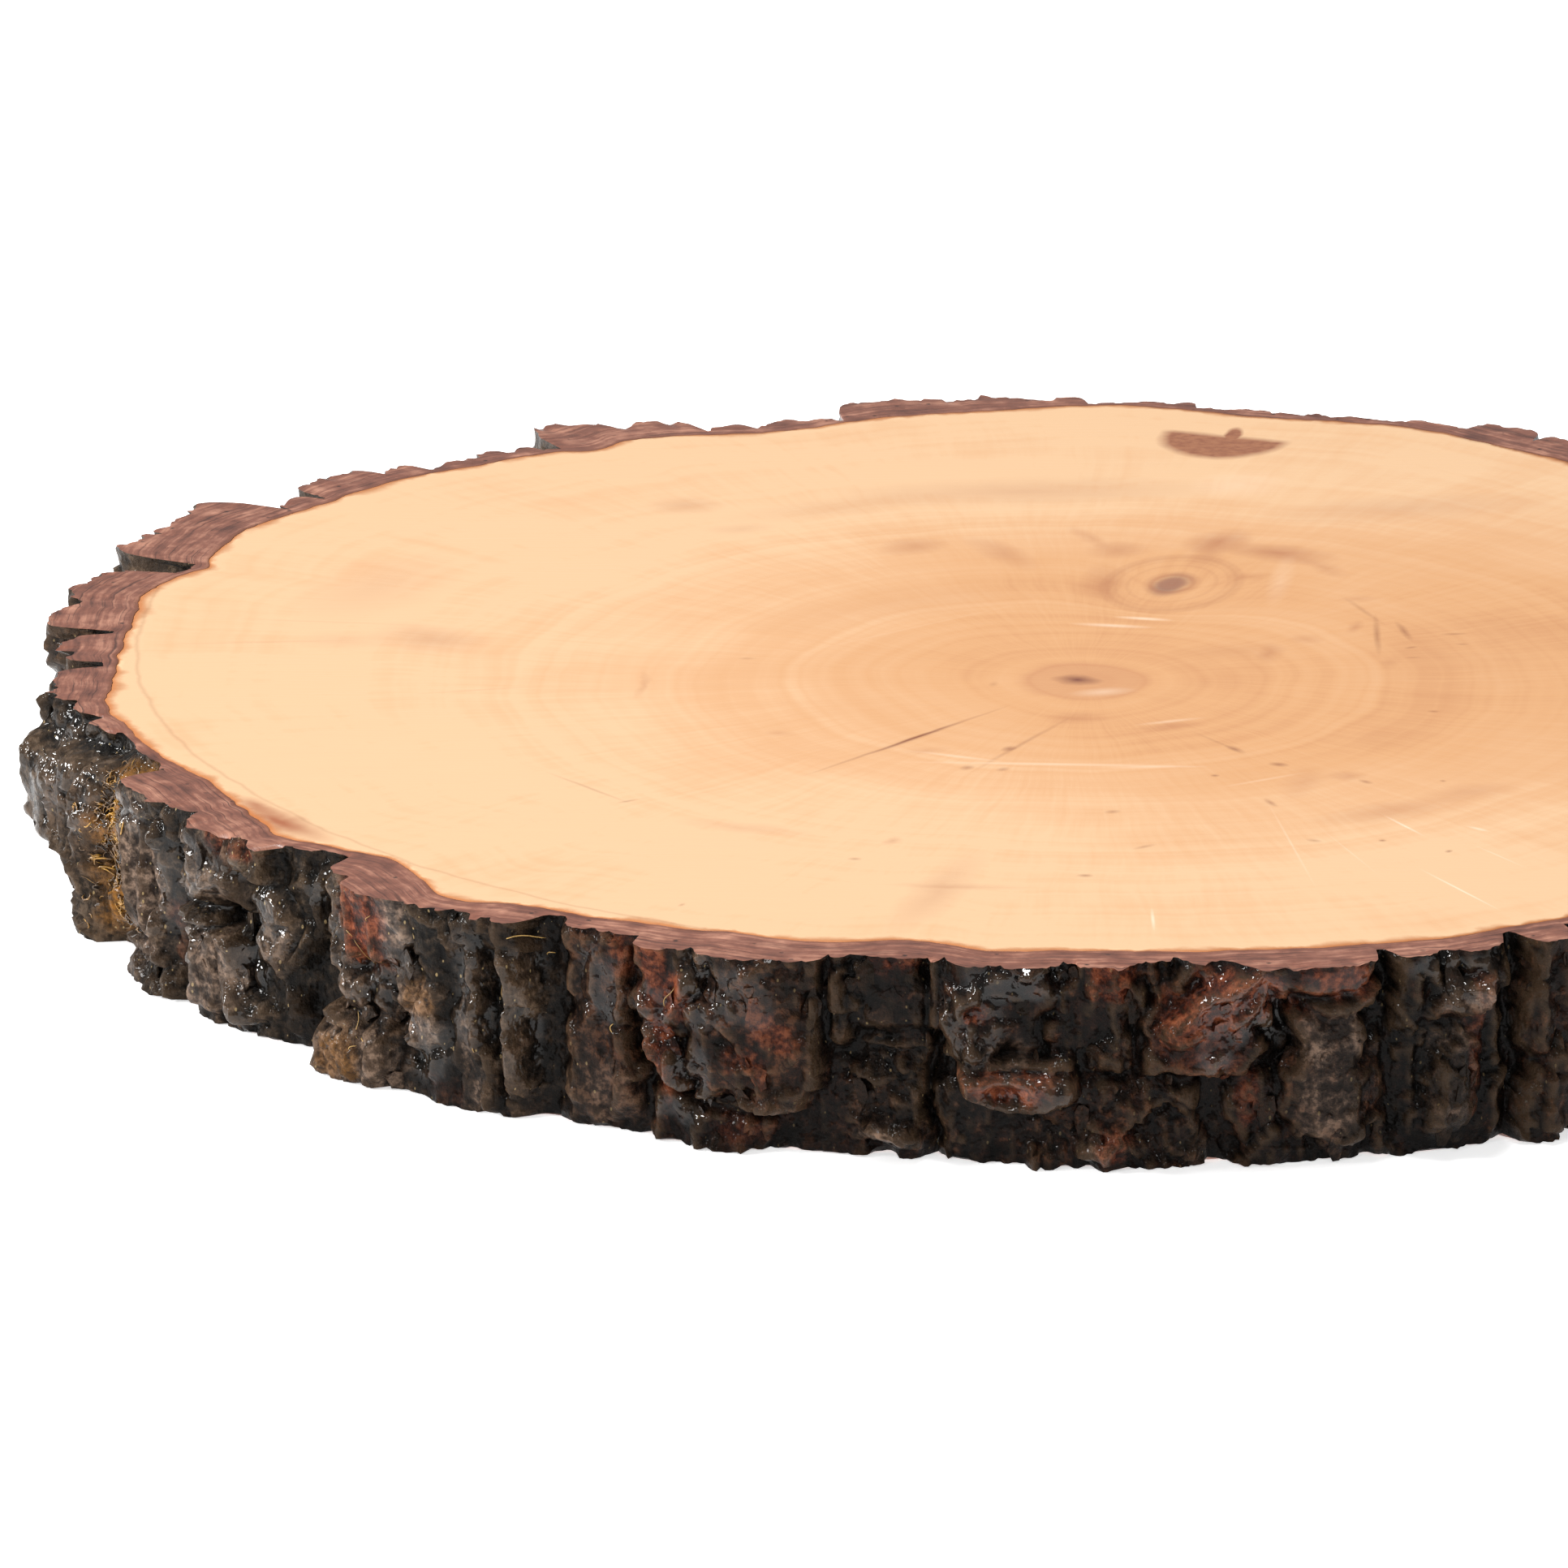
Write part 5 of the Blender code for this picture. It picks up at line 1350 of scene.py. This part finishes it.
shader.inputs["Roughness"].default_value = 0.45
moss_mesh.materials.append(moss_paint)
hair_mesh.materials.append(straw_paint)
golden_moss = piece("golden_moss", moss_mesh)
straw_hairs = piece("straw_hairs", hair_mesh)
print("pieces:", furrowed_bark.name, sawn_wood.name, bark_flakes.name, golden_moss.name, straw_hairs.name)

# %% [markdown]
# Floor, light and camera
#
# The slice lies on a white table. One soft lamp above lights the face, and two at the left stand for
# windows, so the bark on the near side stays dark. Two small lamps in front give the lacquer its wet
# glints. The table glows a little, so that it stays as white beside the bark as in the photo. The
# camera is far off with a long lens, looking down by a little over 17 degrees, as the ellipse of the
# face asks.

# %% The stage
FLOOR_HALF = 9
FLOOR_GLOW = 0.58
floor_corners = [(x * FLOOR_HALF, y * FLOOR_HALF, 0) for x, y in ((-1, -1), (1, -1), (1, 1), (-1, 1))]
floor_mesh = bpy.data.meshes.new("studio_floor")
floor_mesh.from_pydata(floor_corners, [], [(0, 1, 2, 3)])
studio_floor = bpy.data.objects.new("studio_floor", floor_mesh)
bpy.context.scene.collection.objects.link(studio_floor)
floor_paint, tree, shader = finish_named("white_table")
shader.inputs["Base Color"].default_value = linear("F8F8F8")
shader.inputs["Roughness"].default_value = 0.9
shader.inputs["Specular IOR Level"].default_value = 0.1
shader.inputs["Emission Color"].default_value = (1.0, 1.0, 1.0, 1.0)
shader.inputs["Emission Strength"].default_value = FLOOR_GLOW
floor_mesh.materials.append(floor_paint)

scene = bpy.context.scene
scene.world = bpy.data.worlds.new("studio_air")
scene.world.use_nodes = True
air = scene.world.node_tree.nodes["Background"]
air.inputs["Color"].default_value = (1.0, 1.0, 1.0, 1.0)
air.inputs["Strength"].default_value = 0.28
scene.view_settings.view_transform = "Standard"

# Name, place in metres, width in metres, power in watts
LAMPS = (
    ("overhead", (-0.1, -0.1, 1.7), 0.34, 27.0), ("window", (-1.72, -0.46, 0.68), 0.28, 21.0),
    ("side_window", (-1.7, 0.5, 0.78), 0.28, 18.0), ("glint_left", (-1.0, -1.4, 0.85), 0.16, 6.0),
    ("glint_right", (0.4, -1.6, 0.9), 0.13, 4.0),
)


def lamp(name, place, size, power):
    """A square soft lamp at a place, turned so that its front faces the slice."""
    light = bpy.data.lights.new(name, "AREA")
    light.size, light.energy = size, power
    thing = bpy.data.objects.new(name, light)
    scene.collection.objects.link(thing)
    thing.location = place
    way = -np.array(place)
    down = np.arccos(-way[2] / np.linalg.norm(way))
    thing.rotation_euler = (down, 0, np.arctan2(way[1], way[0]) - np.pi / 2)


for row in LAMPS:
    lamp(*row)
print(len(LAMPS), "lamps")

# %% The camera
PITCH = 17.4
LENS = 223.6
CAMERA_AT = (-41.14, -1411.89, 452.7)
camera_data = bpy.data.cameras.new("studio_camera")
camera_data.lens = LENS
camera_data.sensor_width = 36.0
camera_data.sensor_fit = "HORIZONTAL"
camera_data.clip_end = 50.0
camera = bpy.data.objects.new("studio_camera", camera_data)
camera.location = ((CAMERA_AT[0] - CENTRE[0]) * MM, (CAMERA_AT[1] - CENTRE[1]) * MM, CAMERA_AT[2] * MM)
camera.rotation_euler = (np.radians(90 - PITCH), 0, 0)
scene.collection.objects.link(camera)
scene.camera = camera
print("camera at", [round(c, 4) for c in camera.location])
